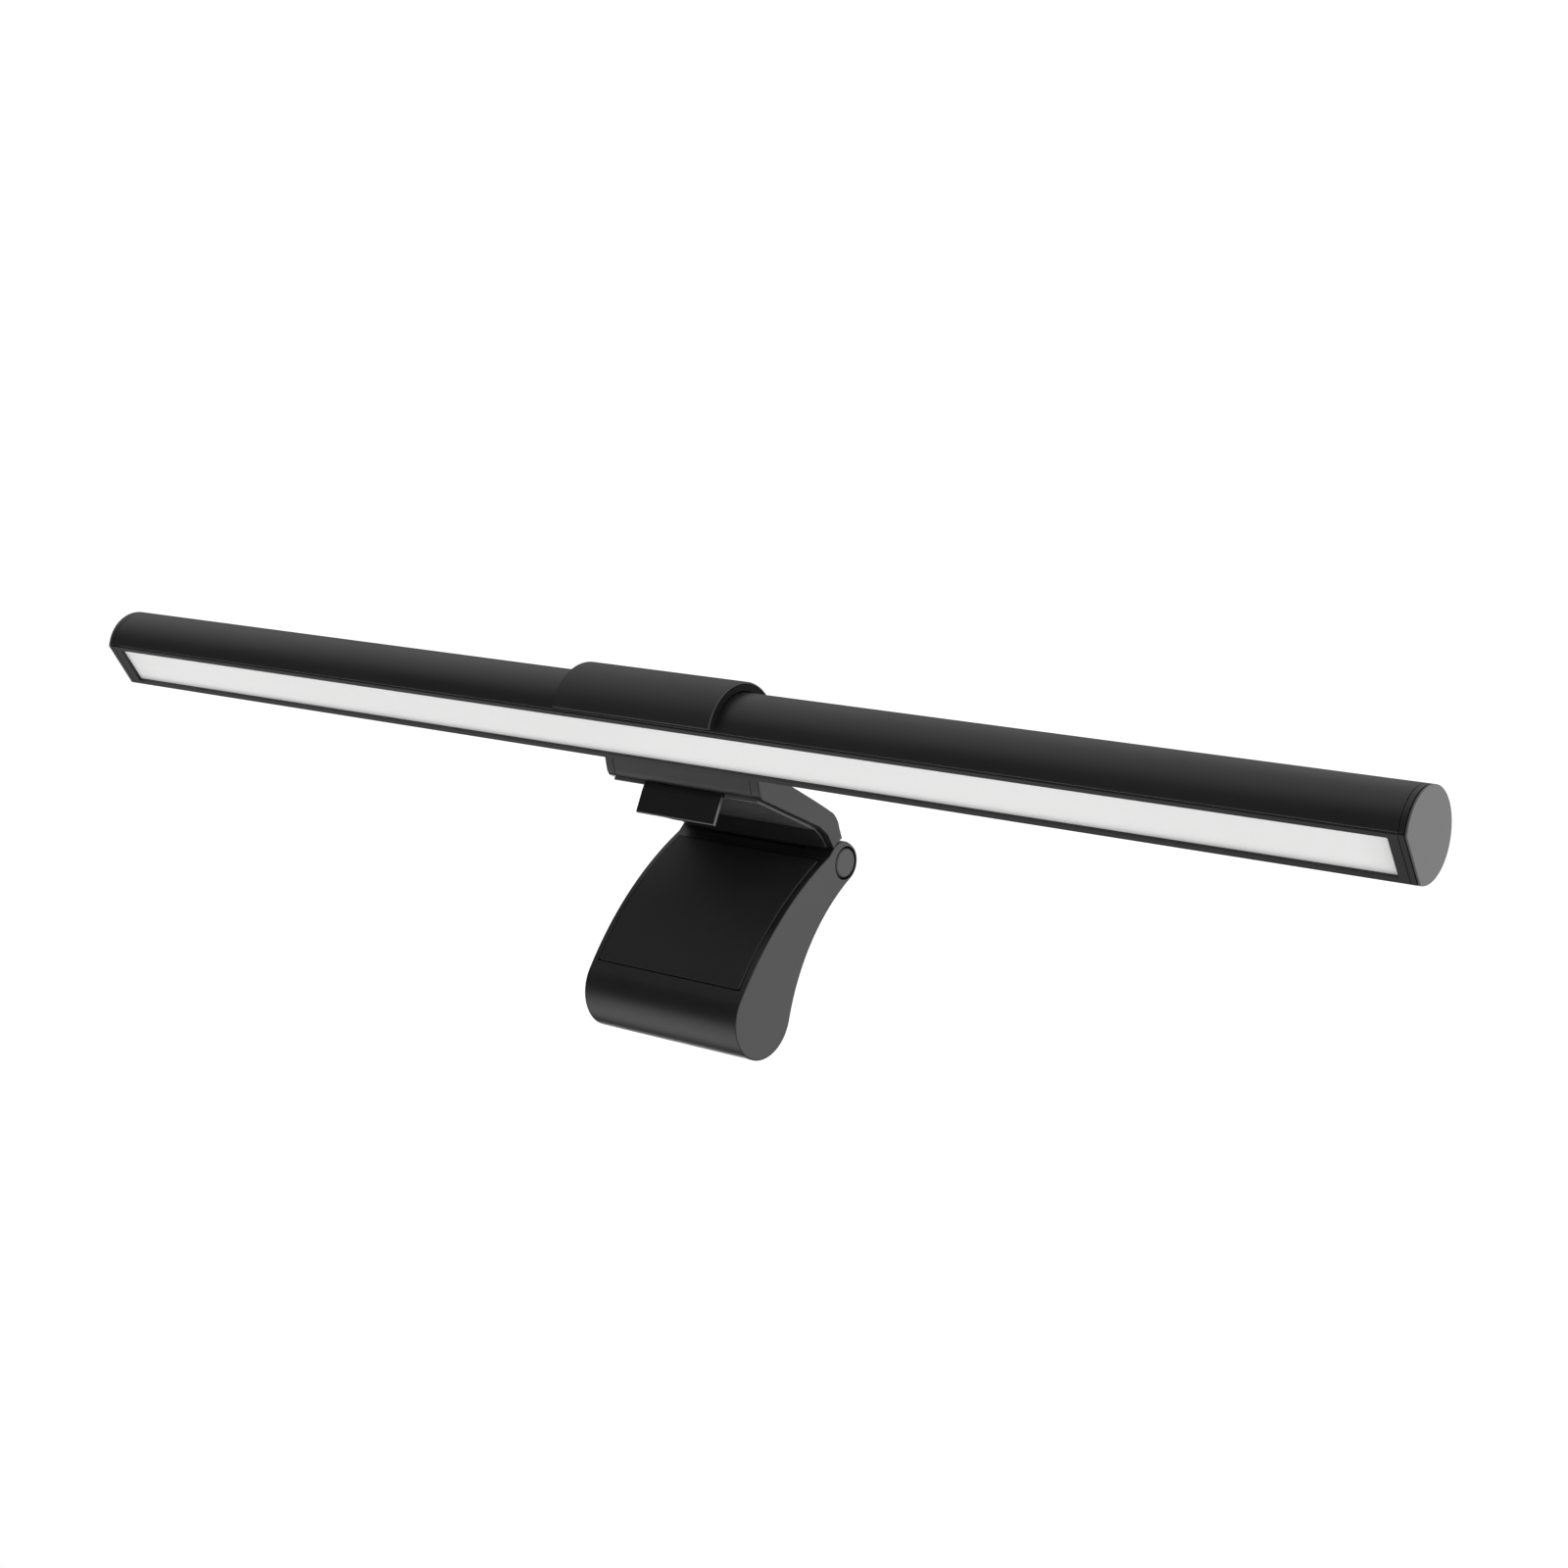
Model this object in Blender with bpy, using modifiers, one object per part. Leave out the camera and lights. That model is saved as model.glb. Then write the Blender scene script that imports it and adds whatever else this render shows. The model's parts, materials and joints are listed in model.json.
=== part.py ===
"""Clip-on screen light bar: a D-section lamp tube held in a saddle on a weighted clip.

Axes: +X along the bar, -Y towards the person at the desk, +Z up. The origin lies on the flat
underside of the clip, where it rests on the top edge of a screen. Sizes are in millimetres
and are turned into metres as each piece is made.
"""

import math

import bmesh
import bpy
from mathutils import Matrix, Vector

# ---------------------------------------------------------------- driving dimensions (mm)
GAP = 0.3                      # air left between pieces that touch on the bench

BAR_LENGTH = 448.0
BAR_Y, BAR_Z = -26.0, 14.5     # centre of the round part of the tube
BAR_RADIUS = 11.4
BAR_WALL = 1.0
BAR_TURN = -32.0               # the light face looks straight down, then turns to the front
FACE_Z = -8.55                 # flat light face, below the tube's centre
TUBE_EDGE_ANGLE = 45.8         # the tube wall ends this far below the horizontal
END_PLATE = 0.6
SEAM = 0.25
END_RING = 1.25

SADDLE_HALF = 28.0
SADDLE_INNER, SADDLE_OUTER = 12.6, 14.2
SADDLE_FRONT, SADDLE_BACK = 191.5, -37.0
LINER_INNER, LINER_OUTER = 11.7, 12.3

NECK_HALF = 27.8
HOOK_HALF = 14.0
HOOK_FRONT, HOOK_BACK = -10.4, -8.1
HOOK_BOTTOM = -8.2

PIN_Y, PIN_Z = 33.9, -5.2      # hinge pin of the clip's weighted arm
PIN_RADIUS = 1.5
KNUCKLE_RADIUS = 5.5
CORE_KNUCKLE_RADIUS = 5.2
CORE_KNUCKLE_HALF = 17.2
ARM_KNUCKLE_INNER = 18.2
PIN_CAP_RADIUS = 4.4

ROLL_Y, ROLL_Z, ROLL_RADIUS = -17.7, -48.9, 11.9   # round foot of the arm, from the pin
ARM_FRONT_RADIUS = 95.0
ARM_FRONT_TANGENT = 171.0      # where the front curve leaves the round foot
ARM_BACK_RADIUS = 56.5
ARM_WALL = 1.9
PAD_HALF = 25.6
PAD_TOP, PAD_END = 141.0, 169.0                    # angles on the front curve

LED_COUNT = 40
INLET_X = 60.0                 # power inlet, on the back of the bar beside the saddle

BAR_TILT_RANGE = (-5.0, 30.0)  # degrees, kept by the stop pin and its slot


def mm(value):
    return value * 0.001


# ---------------------------------------------------------------- outlines
def polar(centre, radius, degrees):
    """Point at an angle from +Y towards +Z about a centre."""
    turn = math.radians(degrees)
    return (centre[0] + radius * math.cos(turn), centre[1] + radius * math.sin(turn))


def arc(centre, radius, start, end, step=6.0):
    """Points along an arc, both ends included."""
    count = max(2, int(math.ceil(abs(end - start) / step)) + 1)
    return [polar(centre, radius, start + (end - start) * i / (count - 1)) for i in range(count)]


def ring_sector(centre, inner, outer, start, end, step=6.0):
    """Closed outline of a part ring."""
    return arc(centre, outer, start, end, step) + arc(centre, inner, end, start, step)


def d_section(radius, flat_z, step=6.0):
    """Circle about the tube's centre with its underside cut flat."""
    corner = math.degrees(math.asin(-flat_z / radius))
    return arc((0.0, 0.0), radius, -corner, 180.0 + corner, step)


def rectangle(low_y, high_y, low_z, high_z):
    return [(low_y, low_z), (high_y, low_z), (high_y, high_z), (low_y, high_z)]


# ---------------------------------------------------------------- scene set-up
def clear_scene():
    for item in list(bpy.data.objects):
        bpy.data.objects.remove(item, do_unlink=True)


def new_collection(name):
    group = bpy.data.collections.new(name)
    bpy.context.scene.collection.children.link(group)
    return group


def new_material(name, colour, roughness, metallic=0.0):
    material = bpy.data.materials.new(name)
    material.use_nodes = True
    shader = material.node_tree.nodes["Principled BSDF"]
    shader.inputs["Base Color"].default_value = (*colour, 1.0)
    shader.inputs["Roughness"].default_value = roughness
    shader.inputs["Metallic"].default_value = metallic
    material.diffuse_color = (*colour, 1.0)
    return material


clear_scene()
PARTS = new_collection("screen_light_bar")
CUTTERS = new_collection("cutters")

BLACK_TUBE = ((0.028, 0.028, 0.030), 0.38, 0.2)
BLACK_SHELL = ((0.035, 0.035, 0.037), 0.45, 0.0)
GREY_CAP = ((0.16, 0.16, 0.16), 0.5, 0.0)
GLOSS_BLACK = ((0.01, 0.01, 0.011), 0.12, 0.0)
RUBBER_BLACK = ((0.018, 0.018, 0.018), 0.8, 0.0)
STEEL = ((0.55, 0.55, 0.56), 0.3, 1.0)
CAST_METAL = ((0.34, 0.34, 0.35), 0.55, 1.0)
BARE_ALUMINIUM = ((0.75, 0.75, 0.77), 0.35, 1.0)
WHITE_PLASTIC = ((0.86, 0.86, 0.85), 0.5, 0.0)
BOARD_GREEN = ((0.02, 0.16, 0.07), 0.5, 0.0)
BOARD_WHITE = ((0.8, 0.8, 0.78), 0.5, 0.0)
RED_LEAD = ((0.5, 0.02, 0.02), 0.5, 0.0)
BLACK_LEAD = ((0.02, 0.02, 0.02), 0.5, 0.0)


def new_axis(name, y, z, turn=0.0):
    """Empty on a hinge line; the pieces that turn with it are its children."""
    axis = bpy.data.objects.new(name, None)
    axis.location = (0.0, mm(y), mm(z))
    axis.rotation_euler.x = math.radians(turn)
    PARTS.objects.link(axis)
    return axis


HEAD = new_axis("bar_tilt_axis", BAR_Y, BAR_Z, BAR_TURN)
ARM = new_axis("arm_swing_axis", PIN_Y, PIN_Z)


def finish_piece(name, mesh, look, parent):
    """Make the object for a mesh: a piece when it has a look, a cutter when it has none."""
    piece = bpy.data.objects.new(name, mesh)
    piece.parent = parent
    if look is None:
        piece.hide_render = True
        piece.display_type = "WIRE"
        CUTTERS.objects.link(piece)
    else:
        mesh.materials.clear()
        mesh.materials.append(new_material(name, *look))
        mesh.shade_smooth()
        mesh.set_sharp_from_angle(angle=math.radians(32.0))
        PARTS.objects.link(piece)
    return piece


# ---------------------------------------------------------------- shape makers
def prism(name, outline, low_x, high_x, look=None, parent=None):
    """Side outline in the YZ plane, extruded along X between two places."""
    curve = bpy.data.curves.new(name, "CURVE")
    curve.dimensions = "2D"
    curve.fill_mode = "BOTH"
    curve.extrude = mm(high_x - low_x) / 2
    spline = curve.splines.new("POLY")
    spline.points.add(len(outline) - 1)
    for point, (y, z) in zip(spline.points, outline):
        point.co = (mm(y), mm(z), 0.0, 1.0)
    spline.use_cyclic_u = True
    place = Matrix.Translation((mm(low_x + high_x) / 2, 0.0, 0.0))
    place = place @ Matrix(((0, 0, 1, 0), (1, 0, 0, 0), (0, 1, 0, 0), (0, 0, 0, 1)))
    return mesh_from_curve(name, curve, place, look, parent)


def wire(name, points, radius, look, parent=None):
    """Round wire through a list of points, with filled ends."""
    curve = bpy.data.curves.new(name, "CURVE")
    curve.dimensions = "3D"
    curve.bevel_depth = mm(radius)
    curve.bevel_resolution = 2
    curve.use_fill_caps = True
    spline = curve.splines.new("POLY")
    spline.points.add(len(points) - 1)
    for point, place in zip(spline.points, points):
        point.co = (mm(place[0]), mm(place[1]), mm(place[2]), 1.0)
    return mesh_from_curve(name, curve, Matrix.Identity(4), look, parent)


def mesh_from_curve(name, curve, place, look, parent):
    """Turn a curve into a welded mesh piece that keeps the curve's place."""
    guide = bpy.data.objects.new(name + "_curve", curve)
    CUTTERS.objects.link(guide)
    bpy.context.view_layer.update()
    evaluated = guide.evaluated_get(bpy.context.evaluated_depsgraph_get())
    mesh = bpy.data.meshes.new_from_object(evaluated)
    bpy.data.objects.remove(guide)
    bpy.data.curves.remove(curve)
    mesh.name = name
    mesh.transform(place)
    shape = bmesh.new()
    shape.from_mesh(mesh)
    bmesh.ops.remove_doubles(shape, verts=shape.verts, dist=1e-6)
    bmesh.ops.dissolve_limit(shape, angle_limit=math.radians(0.1), verts=shape.verts, edges=shape.edges)
    bmesh.ops.recalc_face_normals(shape, faces=shape.faces)
    shape.to_mesh(mesh)
    shape.free()
    return finish_piece(name, mesh, look, parent)


def box(name, x_span, y_span, z_span, look=None, parent=None):
    """Box between low and high values on each axis."""
    shape = bmesh.new()
    spans = (x_span, y_span, z_span)
    middle = Vector([mm(low + high) / 2 for low, high in spans])
    size = Vector([mm(high - low) for low, high in spans])
    bmesh.ops.create_cube(shape, size=1.0, matrix=Matrix.Translation(middle) @ Matrix.Diagonal((*size, 1)))
    return mesh_from_shape(name, shape, look, parent)


def rod(name, start, direction, length, radius, look=None, parent=None, sides=24, end_radius=None):
    """Cylinder or cone that starts at a point and runs along a direction."""
    shape = bmesh.new()
    turn = Vector(direction).to_track_quat("Z", "Y").to_matrix().to_4x4()
    middle = Vector(start) + Vector(direction).normalized() * (length / 2)
    place = Matrix.Translation(middle * 0.001) @ turn
    tip = radius if end_radius is None else end_radius
    bmesh.ops.create_cone(shape, cap_ends=True, segments=sides, radius1=mm(radius),
                          radius2=mm(tip), depth=mm(length), matrix=place)
    return mesh_from_shape(name, shape, look, parent)


def turned(name, profile, start, direction, look, parent=None, steps=24):
    """Piece turned on a lathe: (radius, height) pairs run from the top end down its outer side.

    A profile that touches the axis starts and ends there; one that ends where it starts is a ring.
    """
    mesh = bpy.data.meshes.new(name)
    shape = bmesh.new()
    is_ring = profile[0] == profile[-1]
    corners = profile[:-1] if is_ring else profile
    ring = [shape.verts.new((mm(radius), 0.0, mm(height))) for radius, height in corners]
    if is_ring:
        ring.append(ring[0])
    for upper, lower in zip(ring, ring[1:]):
        shape.edges.new((upper, lower))
    shape.to_mesh(mesh)
    shape.free()
    piece = finish_piece(name, mesh, look, parent)
    turn = Vector(direction).to_track_quat("Z", "Y").to_matrix().to_4x4()
    piece.matrix_local = Matrix.Translation(Vector(start) * 0.001) @ turn
    screw = piece.modifiers.new("turn", "SCREW")
    screw.axis = "Z"
    screw.angle = math.tau
    screw.steps = steps
    screw.render_steps = steps
    screw.use_merge_vertices = True
    screw.merge_threshold = 1e-6
    screw.use_smooth_shade = True
    return piece


def mesh_from_shape(name, shape, look, parent):
    mesh = bpy.data.meshes.new(name)
    bmesh.ops.recalc_face_normals(shape, faces=shape.faces)
    shape.to_mesh(mesh)
    shape.free()
    return finish_piece(name, mesh, look, parent)


def boolean(piece, tool, operation):
    step = piece.modifiers.new(operation.lower() + "_" + tool.name, "BOOLEAN")
    step.operation = operation
    step.solver = "EXACT"
    step.object = tool


def cut(piece, *tools):
    for tool in tools:
        boolean(piece, tool, "DIFFERENCE")


def add(piece, *tools):
    for tool in tools:
        boolean(piece, tool, "UNION")


def csk_screw(name, start, direction, length, look=STEEL, parent=None, head=2.1, shank=1.0):
    """Countersunk screw: the head's face is at the start, the shank runs along the direction."""
    profile = [(0.0, length), (shank, length), (shank, 1.1), (head, 0.2), (head, 0.0), (1.0, 0.0), (0.8, 0.5),
               (0.0, 0.5)]
    return turned(name, profile, start, direction, look, parent, steps=12)


def csk_hole(name, start, direction, length, parent=None, head=2.1, shank=1.0):
    """The room a countersunk screw needs, with air all round it."""
    profile = [(0.0, length + 0.4), (shank + 0.2, length + 0.4), (shank + 0.2, 1.1 + 0.2),
               (head + 0.25, 0.4), (head + 0.25, -1.5), (0.0, -1.5)]
    return turned(name, profile, start, direction, None, parent, steps=12)


# ---------------------------------------------------------------- light head
TUBE_HALF = BAR_LENGTH / 2 - END_PLATE - SEAM - END_RING - SEAM
RING_END = TUBE_HALF + SEAM + END_RING
TUBE_INNER = BAR_RADIUS - BAR_WALL
PORT_ANGLE, PORT_CENTRE, PORT_RADIUS = 55.0, 8.9, 1.7
PORTS = [polar((0.0, 0.0), PORT_CENTRE, angle) for angle in (PORT_ANGLE, 180.0 - PORT_ANGLE)]
STOP_PIN_ANGLE = 60.0 - BAR_TURN
STOP_PIN_RADIUS = 1.5
STOP_PIN_TOP = 13.2
INLET_HALF, INLET_LOW, INLET_HIGH = 4.47, 2.15, 5.35
BOARD_TOP = 1.9


def make_tube():
    """Extruded tube: open along the light face, with two screw ports inside."""
    section = ring_sector((0.0, 0.0), TUBE_INNER, BAR_RADIUS, -TUBE_EDGE_ANGLE,
                          180.0 + TUBE_EDGE_ANGLE, step=5.0)
    tube = prism("tube_housing", section, -TUBE_HALF, TUBE_HALF, BLACK_TUBE, HEAD)
    for number, (y, z) in enumerate(PORTS, 1):
        ends = (-TUBE_HALF, y, z)
        add(tube, rod(f"port_{number}", ends, (1, 0, 0), 2 * TUBE_HALF, PORT_RADIUS, parent=HEAD, sides=16))
        bore = (-TUBE_HALF - 1, y, z)
        cut(tube, rod(f"port_bore_{number}", bore, (1, 0, 0), 2 * TUBE_HALF + 2, 0.9, parent=HEAD, sides=12))
    pin_y, pin_z = polar((0.0, 0.0), 1.0, STOP_PIN_ANGLE)
    cut(tube, rod("stop_pin_hole", (0, pin_y * 9, pin_z * 9), (0, pin_y, pin_z), 5, STOP_PIN_RADIUS + 0.2,
                  parent=HEAD))
    cut(tube, box("inlet_window", (INLET_X - 6.6, INLET_X + 6.6), (6.0, 13.0), (0.9, 6.6), parent=HEAD))


def make_bezel():
    """Thin frame flush with the light face, round the whole diffuser."""
    top = -7.64
    section = [(-7.07, top), (-7.77, -8.35), (-7.54, FACE_Z), (7.54, FACE_Z), (7.77, -8.35), (7.07, top)]
    frame = prism("bezel_frame", section, -RING_END, RING_END, BLACK_SHELL, HEAD)
    cut(frame, box("bezel_window", (-219.0, 219.0), (-6.2, 6.2), (-10.0, -6.0), parent=HEAD))


def make_optics():
    """Diffuser, folded reflector, light board and the carrier that holds them."""
    prism("diffuser", rectangle(-6.9, 6.9, -7.34, -5.95), -220.2, 220.2, WHITE_PLASTIC, HEAD)
    fold = [(6.9, -5.65), (4.1, -0.9), (-4.1, -0.9), (-6.9, -5.65), (-6.35, -5.65), (-3.8, -1.4),
            (3.8, -1.4), (6.35, -5.65)]
    reflector = prism("reflector", fold, -214.0, 214.0, WHITE_PLASTIC, HEAD)
    carrier_section = [(-9.9, 0.6), (9.9, 0.6), (9.9, -0.4), (8.9, -0.6), (8.9, -4.8), (7.9, -4.8),
                       (7.9, -0.7), (-7.9, -0.7), (-7.9, -4.8), (-8.9, -4.8), (-8.9, -0.6), (-9.9, -0.4)]
    carrier = prism("led_carrier", carrier_section, -214.0, 214.0, BARE_ALUMINIUM, HEAD)
    lead_slot = box("lead_slot", (25.5, 31.5), (-3.4, 3.4), (-1.6, 1.5), parent=HEAD)
    cut(carrier, lead_slot)
    cut(reflector, lead_slot)
    board = box("led_board", (-212.0, 212.0), (-3.0, 3.0), (-2.7, -1.7), BOARD_WHITE, HEAD)
    pitch = 418.0 / (LED_COUNT - 1)
    for number in range(LED_COUNT):
        x = -209.0 + pitch * number
        add(board, box(f"led_{number + 1}", (x - 1.4, x + 1.4), (-1.6, 1.6), (-3.4, -2.5), parent=HEAD))


def make_driver():
    """Driver board with its tall components, the power inlet and its surround."""
    board = box("driver_board", (34.0, 92.0), (-8.0, 8.0), (BOARD_TOP - 1.0, BOARD_TOP), BOARD_GREEN, HEAD)
    foot = BOARD_TOP - 0.2
    tall_parts = {"coil": ((42.0, 48.5), (-3.5, 3.0), (foot, 5.2)),
                  "controller": ((52.0, 56.5), (-6.5, -2.0), (foot, 3.2)),
                  "connector": ((82.0, 88.0), (-5.5, 1.5), (foot, 5.2))}
    for name, spans in tall_parts.items():
        add(board, box(name, *spans, parent=HEAD))
    add(board, rod("capacitor", (68.0, -0.5, 4.2), (1, 0, 0), 9.0, 2.5, parent=HEAD, sides=20))
    shell = box("usb_c_inlet", (INLET_X - INLET_HALF, INLET_X + INLET_HALF), (2.2, 9.5),
                (INLET_LOW, INLET_HIGH), STEEL, HEAD)
    cut(shell, box("inlet_mouth", (INLET_X - INLET_HALF + 0.35, INLET_X + INLET_HALF - 0.35), (3.0, 11.0),
                   (INLET_LOW + 0.35, INLET_HIGH - 0.35), parent=HEAD))
    middle = (INLET_LOW + INLET_HIGH) / 2
    add(shell, box("inlet_tongue", (INLET_X - 3.3, INLET_X + 3.3), (2.5, 8.6), (middle - 0.35, middle + 0.35),
                   parent=HEAD))
    surround_section = [(8.4, 1.2)] + arc((0.0, 0.0), BAR_RADIUS, 6.04, 33.55, 4.0) + [(8.4, 6.3)]
    surround = prism("inlet_surround", surround_section, INLET_X - 6.3, INLET_X + 6.3, BLACK_SHELL, HEAD)
    cut(surround, box("inlet_opening", (INLET_X - 4.8, INLET_X + 4.8), (6.0, 13.0),
                      (INLET_LOW - GAP, INLET_HIGH + GAP), parent=HEAD))


def make_ends():
    """End rings that plug into the tube, their screws, and the plates that hide the screws."""
    for side, name in ((-1, "left"), (1, "right")):
        def span(near, far):
            return (near, far) if side > 0 else (-far, -near)
        ring_start = TUBE_HALF + SEAM
        ring_section = arc((0.0, 0.0), BAR_RADIUS, -TUBE_EDGE_ANGLE, 180.0 + TUBE_EDGE_ANGLE, 5.0)
        ring_section += [(-7.25, -7.3), (7.25, -7.3)]
        ring = prism(f"end_ring_{name}", ring_section, *span(ring_start, RING_END), BLACK_TUBE, HEAD)
        add(ring, prism(f"end_plug_{name}", d_section(TUBE_INNER - GAP, -5.3), *span(215.5, ring_start + 0.3),
                        parent=HEAD))
        cut(ring, prism(f"end_hollow_{name}", d_section(8.5, -4.2), *span(210.0, ring_start - 0.8), parent=HEAD))
        for number, (y, z) in enumerate(PORTS, 1):
            clear_port = rod(f"end_port_{name}_{number}", (side * 210.0, y, z), (side, 0, 0),
                             ring_start - 210.1, PORT_RADIUS + GAP, parent=HEAD, sides=16)
            cut(ring, clear_port)
            cut(ring, rod(f"end_hole_{name}_{number}", (side * 210.0, y, z), (side, 0, 0), 20.0, 1.1,
                          parent=HEAD, sides=12))
            cut(ring, rod(f"end_seat_{name}_{number}", (side * (RING_END - 0.75), y, z), (side, 0, 0), 5.0, 1.9,
                          parent=HEAD, sides=16))
            profile = [(0.0, 7.0), (0.5, 7.0), (0.75, 6.4), (0.75, 0.6), (1.6, 0.6), (1.6, 0.0), (0.0, 0.0)]
            turned(f"end_screw_{name}_{number}", profile, (side * (RING_END - 0.1), y, z), (-side, 0, 0), STEEL,
                   HEAD, steps=12)
        plate_span = span(RING_END + SEAM, BAR_LENGTH / 2)
        prism(f"end_plate_{name}", d_section(BAR_RADIUS, FACE_Z, 5.0), *plate_span, GREY_CAP, HEAD)
    prism("touch_board", rectangle(-6.0, 6.0, -3.8, 4.8), 219.0, 220.0, BOARD_GREEN, HEAD)


def make_stop_pin():
    """Shoulder pin on the tube that runs in the saddle's slot and limits the tilt."""
    y, z = polar((0.0, 0.0), 1.0, STOP_PIN_ANGLE)
    profile = [(0.0, STOP_PIN_TOP), (1.2, STOP_PIN_TOP), (STOP_PIN_RADIUS, STOP_PIN_TOP - 0.3),
               (STOP_PIN_RADIUS, 10.05), (2.6, 10.05), (2.6, 9.2), (0.0, 9.2)]
    turned("tilt_stop_pin", profile, (0, 0, 0), (0, y, z), STEEL, HEAD)


def make_leads():
    """Two leads from the driver to the light board, and one along to the touch board."""
    for side, name, look in ((-1, "lead_negative", BLACK_LEAD), (1, "lead_positive", RED_LEAD)):
        y = side * 1.6
        route = [(37.0, y, 2.65), (34.0, y, 2.7), (31.5, y, 2.4), (29.6, y, 1.7), (28.6, y, 0.6), (28.3, y, -1.05)]
        wire(name, route, 0.45, look, HEAD)
    touch_route = [(88.6, -4.6, 4.2), (91.0, -4.6, 3.9), (93.5, -4.6, 2.6), (96.5, -4.6, 1.6), (150.0, -4.6, 1.4),
                   (205.0, -4.6, 1.4), (212.0, -4.2, 1.6), (218.5, -3.6, 1.8)]
    wire("touch_lead", touch_route, 0.5, BLACK_LEAD, HEAD)


# ---------------------------------------------------------------- clip: fixed bracket
BAR = (BAR_Y, BAR_Z)
PIN = (PIN_Y, PIN_Z)
SADDLE_SCREW_ANGLE = -20.0
SADDLE_SCREW_X = 14.0
CORE_SCREWS = ((9.0, -3.0, 0.95, 6.6), (12.0, 12.5, 2.2, 6.0))   # x, y, head z, tip z


def make_saddle():
    """C-shaped sleeve round the bar, its soft liner and the screws under the liner."""
    shell = prism("saddle_shell", ring_sector(BAR, SADDLE_INNER, SADDLE_OUTER, SADDLE_BACK, SADDLE_FRONT, 5.0),
                  -SADDLE_HALF, SADDLE_HALF, BLACK_SHELL)
    liner = prism("saddle_liner", ring_sector(BAR, LINER_INNER, LINER_OUTER, SADDLE_BACK + 2, SADDLE_FRONT - 2, 5.0),
                  -SADDLE_HALF + 0.4, SADDLE_HALF - 0.4, RUBBER_BLACK)
    pin_angle = STOP_PIN_ANGLE + BAR_TURN
    reach = math.degrees(math.atan2(STOP_PIN_RADIUS, STOP_PIN_TOP)) + 1.0
    slot = ring_sector(BAR, 11.0, STOP_PIN_TOP + 0.3, pin_angle + BAR_TILT_RANGE[0] - reach,
                       pin_angle + BAR_TILT_RANGE[1] + reach, 5.0)
    slot_cutter = prism("tilt_slot", slot, -1.9, 1.9)
    cut(shell, slot_cutter)
    cut(liner, slot_cutter)
    y, z = polar((0.0, 0.0), 1.0, SADDLE_SCREW_ANGLE)
    for side, name in ((-1, "left"), (1, "right")):
        head = (side * SADDLE_SCREW_X, BAR_Y + y * 12.7, BAR_Z + z * 12.7)
        hole = csk_hole(f"saddle_screw_hole_{name}", head, (0, y, z), 4.4)
        cut(shell, hole)
        csk_screw(f"saddle_screw_{name}", head, (0, y, z), 4.4)


def neck_outline():
    """Side outline of the neck: seat under the bar, flat belly, hollow round the hinge, flat top."""
    seat = arc(BAR, SADDLE_OUTER + GAP, 6.0, SADDLE_BACK, 5.0)
    belly = [(-11.9, 2.45), (-11.2, 1.65), (-10.2, 1.1), (18.0, 1.1), (22.4, 0.0)]
    hinge_hollow = arc(PIN, 7.6, 161.0, 128.0, 6.0)
    top = [(26.6, 3.3), (24.8, 5.0), (22.3, 6.2), (11.5, 7.2), (1.1, 7.9)]
    blend = arc((-3.6, 15.4), 7.4, 270.0, 175.0, 10.0)
    return seat + belly + hinge_hollow + top + blend


def make_neck():
    """Moulded neck housing, hollow from below, with bosses for the core's screws."""
    neck = prism("neck_housing", neck_outline(), -NECK_HALF, NECK_HALF, BLACK_SHELL)
    hollow = [(-9.0, -2.0), (-9.0, 6.2), (1.0, 6.2), (11.5, 5.5), (20.0, 4.7), (20.0, -2.0)]
    cut(neck, prism("neck_hollow", hollow, -26.0, 26.0))
    web_room = [(19.0, -6.0), (19.0, 4.8), (22.5, 4.5), (25.3, 3.1), (34.0, 2.4), (34.0, -6.0)]
    cut(neck, prism("neck_web_room", web_room, -17.6, 17.6))
    cut(neck, box("hook_notch", (-HOOK_HALF - GAP, HOOK_HALF + GAP), (-13.0, -6.0), (-1.0, 2.2)))
    for side in (-1, 1):
        for number, (x, y, head_z, tip_z) in enumerate(CORE_SCREWS, 1):
            place = (side * x, y)
            boss = rod(f"boss_{side}_{number}", (*place, 4.5), (0, 0, 1), 2.3, 2.5, sides=16)
            hole = csk_hole(f"boss_hole_{side}_{number}", (*place, head_z), (0, 0, 1), tip_z - head_z)
            add(neck, boss)
            cut(neck, hole)
    y, z = polar((0.0, 0.0), 1.0, SADDLE_SCREW_ANGLE)
    for side in (-1, 1):
        start = (side * SADDLE_SCREW_X, BAR_Y + y * 12, BAR_Z + z * 12)
        cut(neck, rod(f"saddle_screw_bore_{side}", start, (0, y, z), 5.5, 1.2, sides=16))


def make_core():
    """Cast core inside the neck: a flat plate that ends in the middle knuckle of the hinge."""
    upper = [(-7.5, 4.2), (16.5, 4.2), (23.4, 2.6)]
    lower = [(25.9, -1.75), (22.3, 0.45), (17.0, 2.2), (-7.5, 2.2)]
    knuckle = arc(PIN, CORE_KNUCKLE_RADIUS, 118.0, -184.0, 10.0)
    core = prism("hinge_core", upper + knuckle + lower, -CORE_KNUCKLE_HALF, CORE_KNUCKLE_HALF, CAST_METAL)
    cut(core, rod("core_bore", (-20.0, *PIN), (1, 0, 0), 40.0, PIN_RADIUS + 0.1))
    cut(core, rod("spring_pocket", (-8.2, *PIN), (1, 0, 0), 16.4, 3.9))
    for side in (-1, 1):
        for number, (x, y, head_z, tip_z) in enumerate(CORE_SCREWS, 1):
            place = (side * x, y, head_z)
            cut(core, csk_hole(f"core_hole_{side}_{number}", place, (0, 0, 1), tip_z - head_z))
            word = "left" if side < 0 else "right"
            csk_screw(f"core_screw_{word}_{number}", place, (0, 0, 1), tip_z - head_z)


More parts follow.
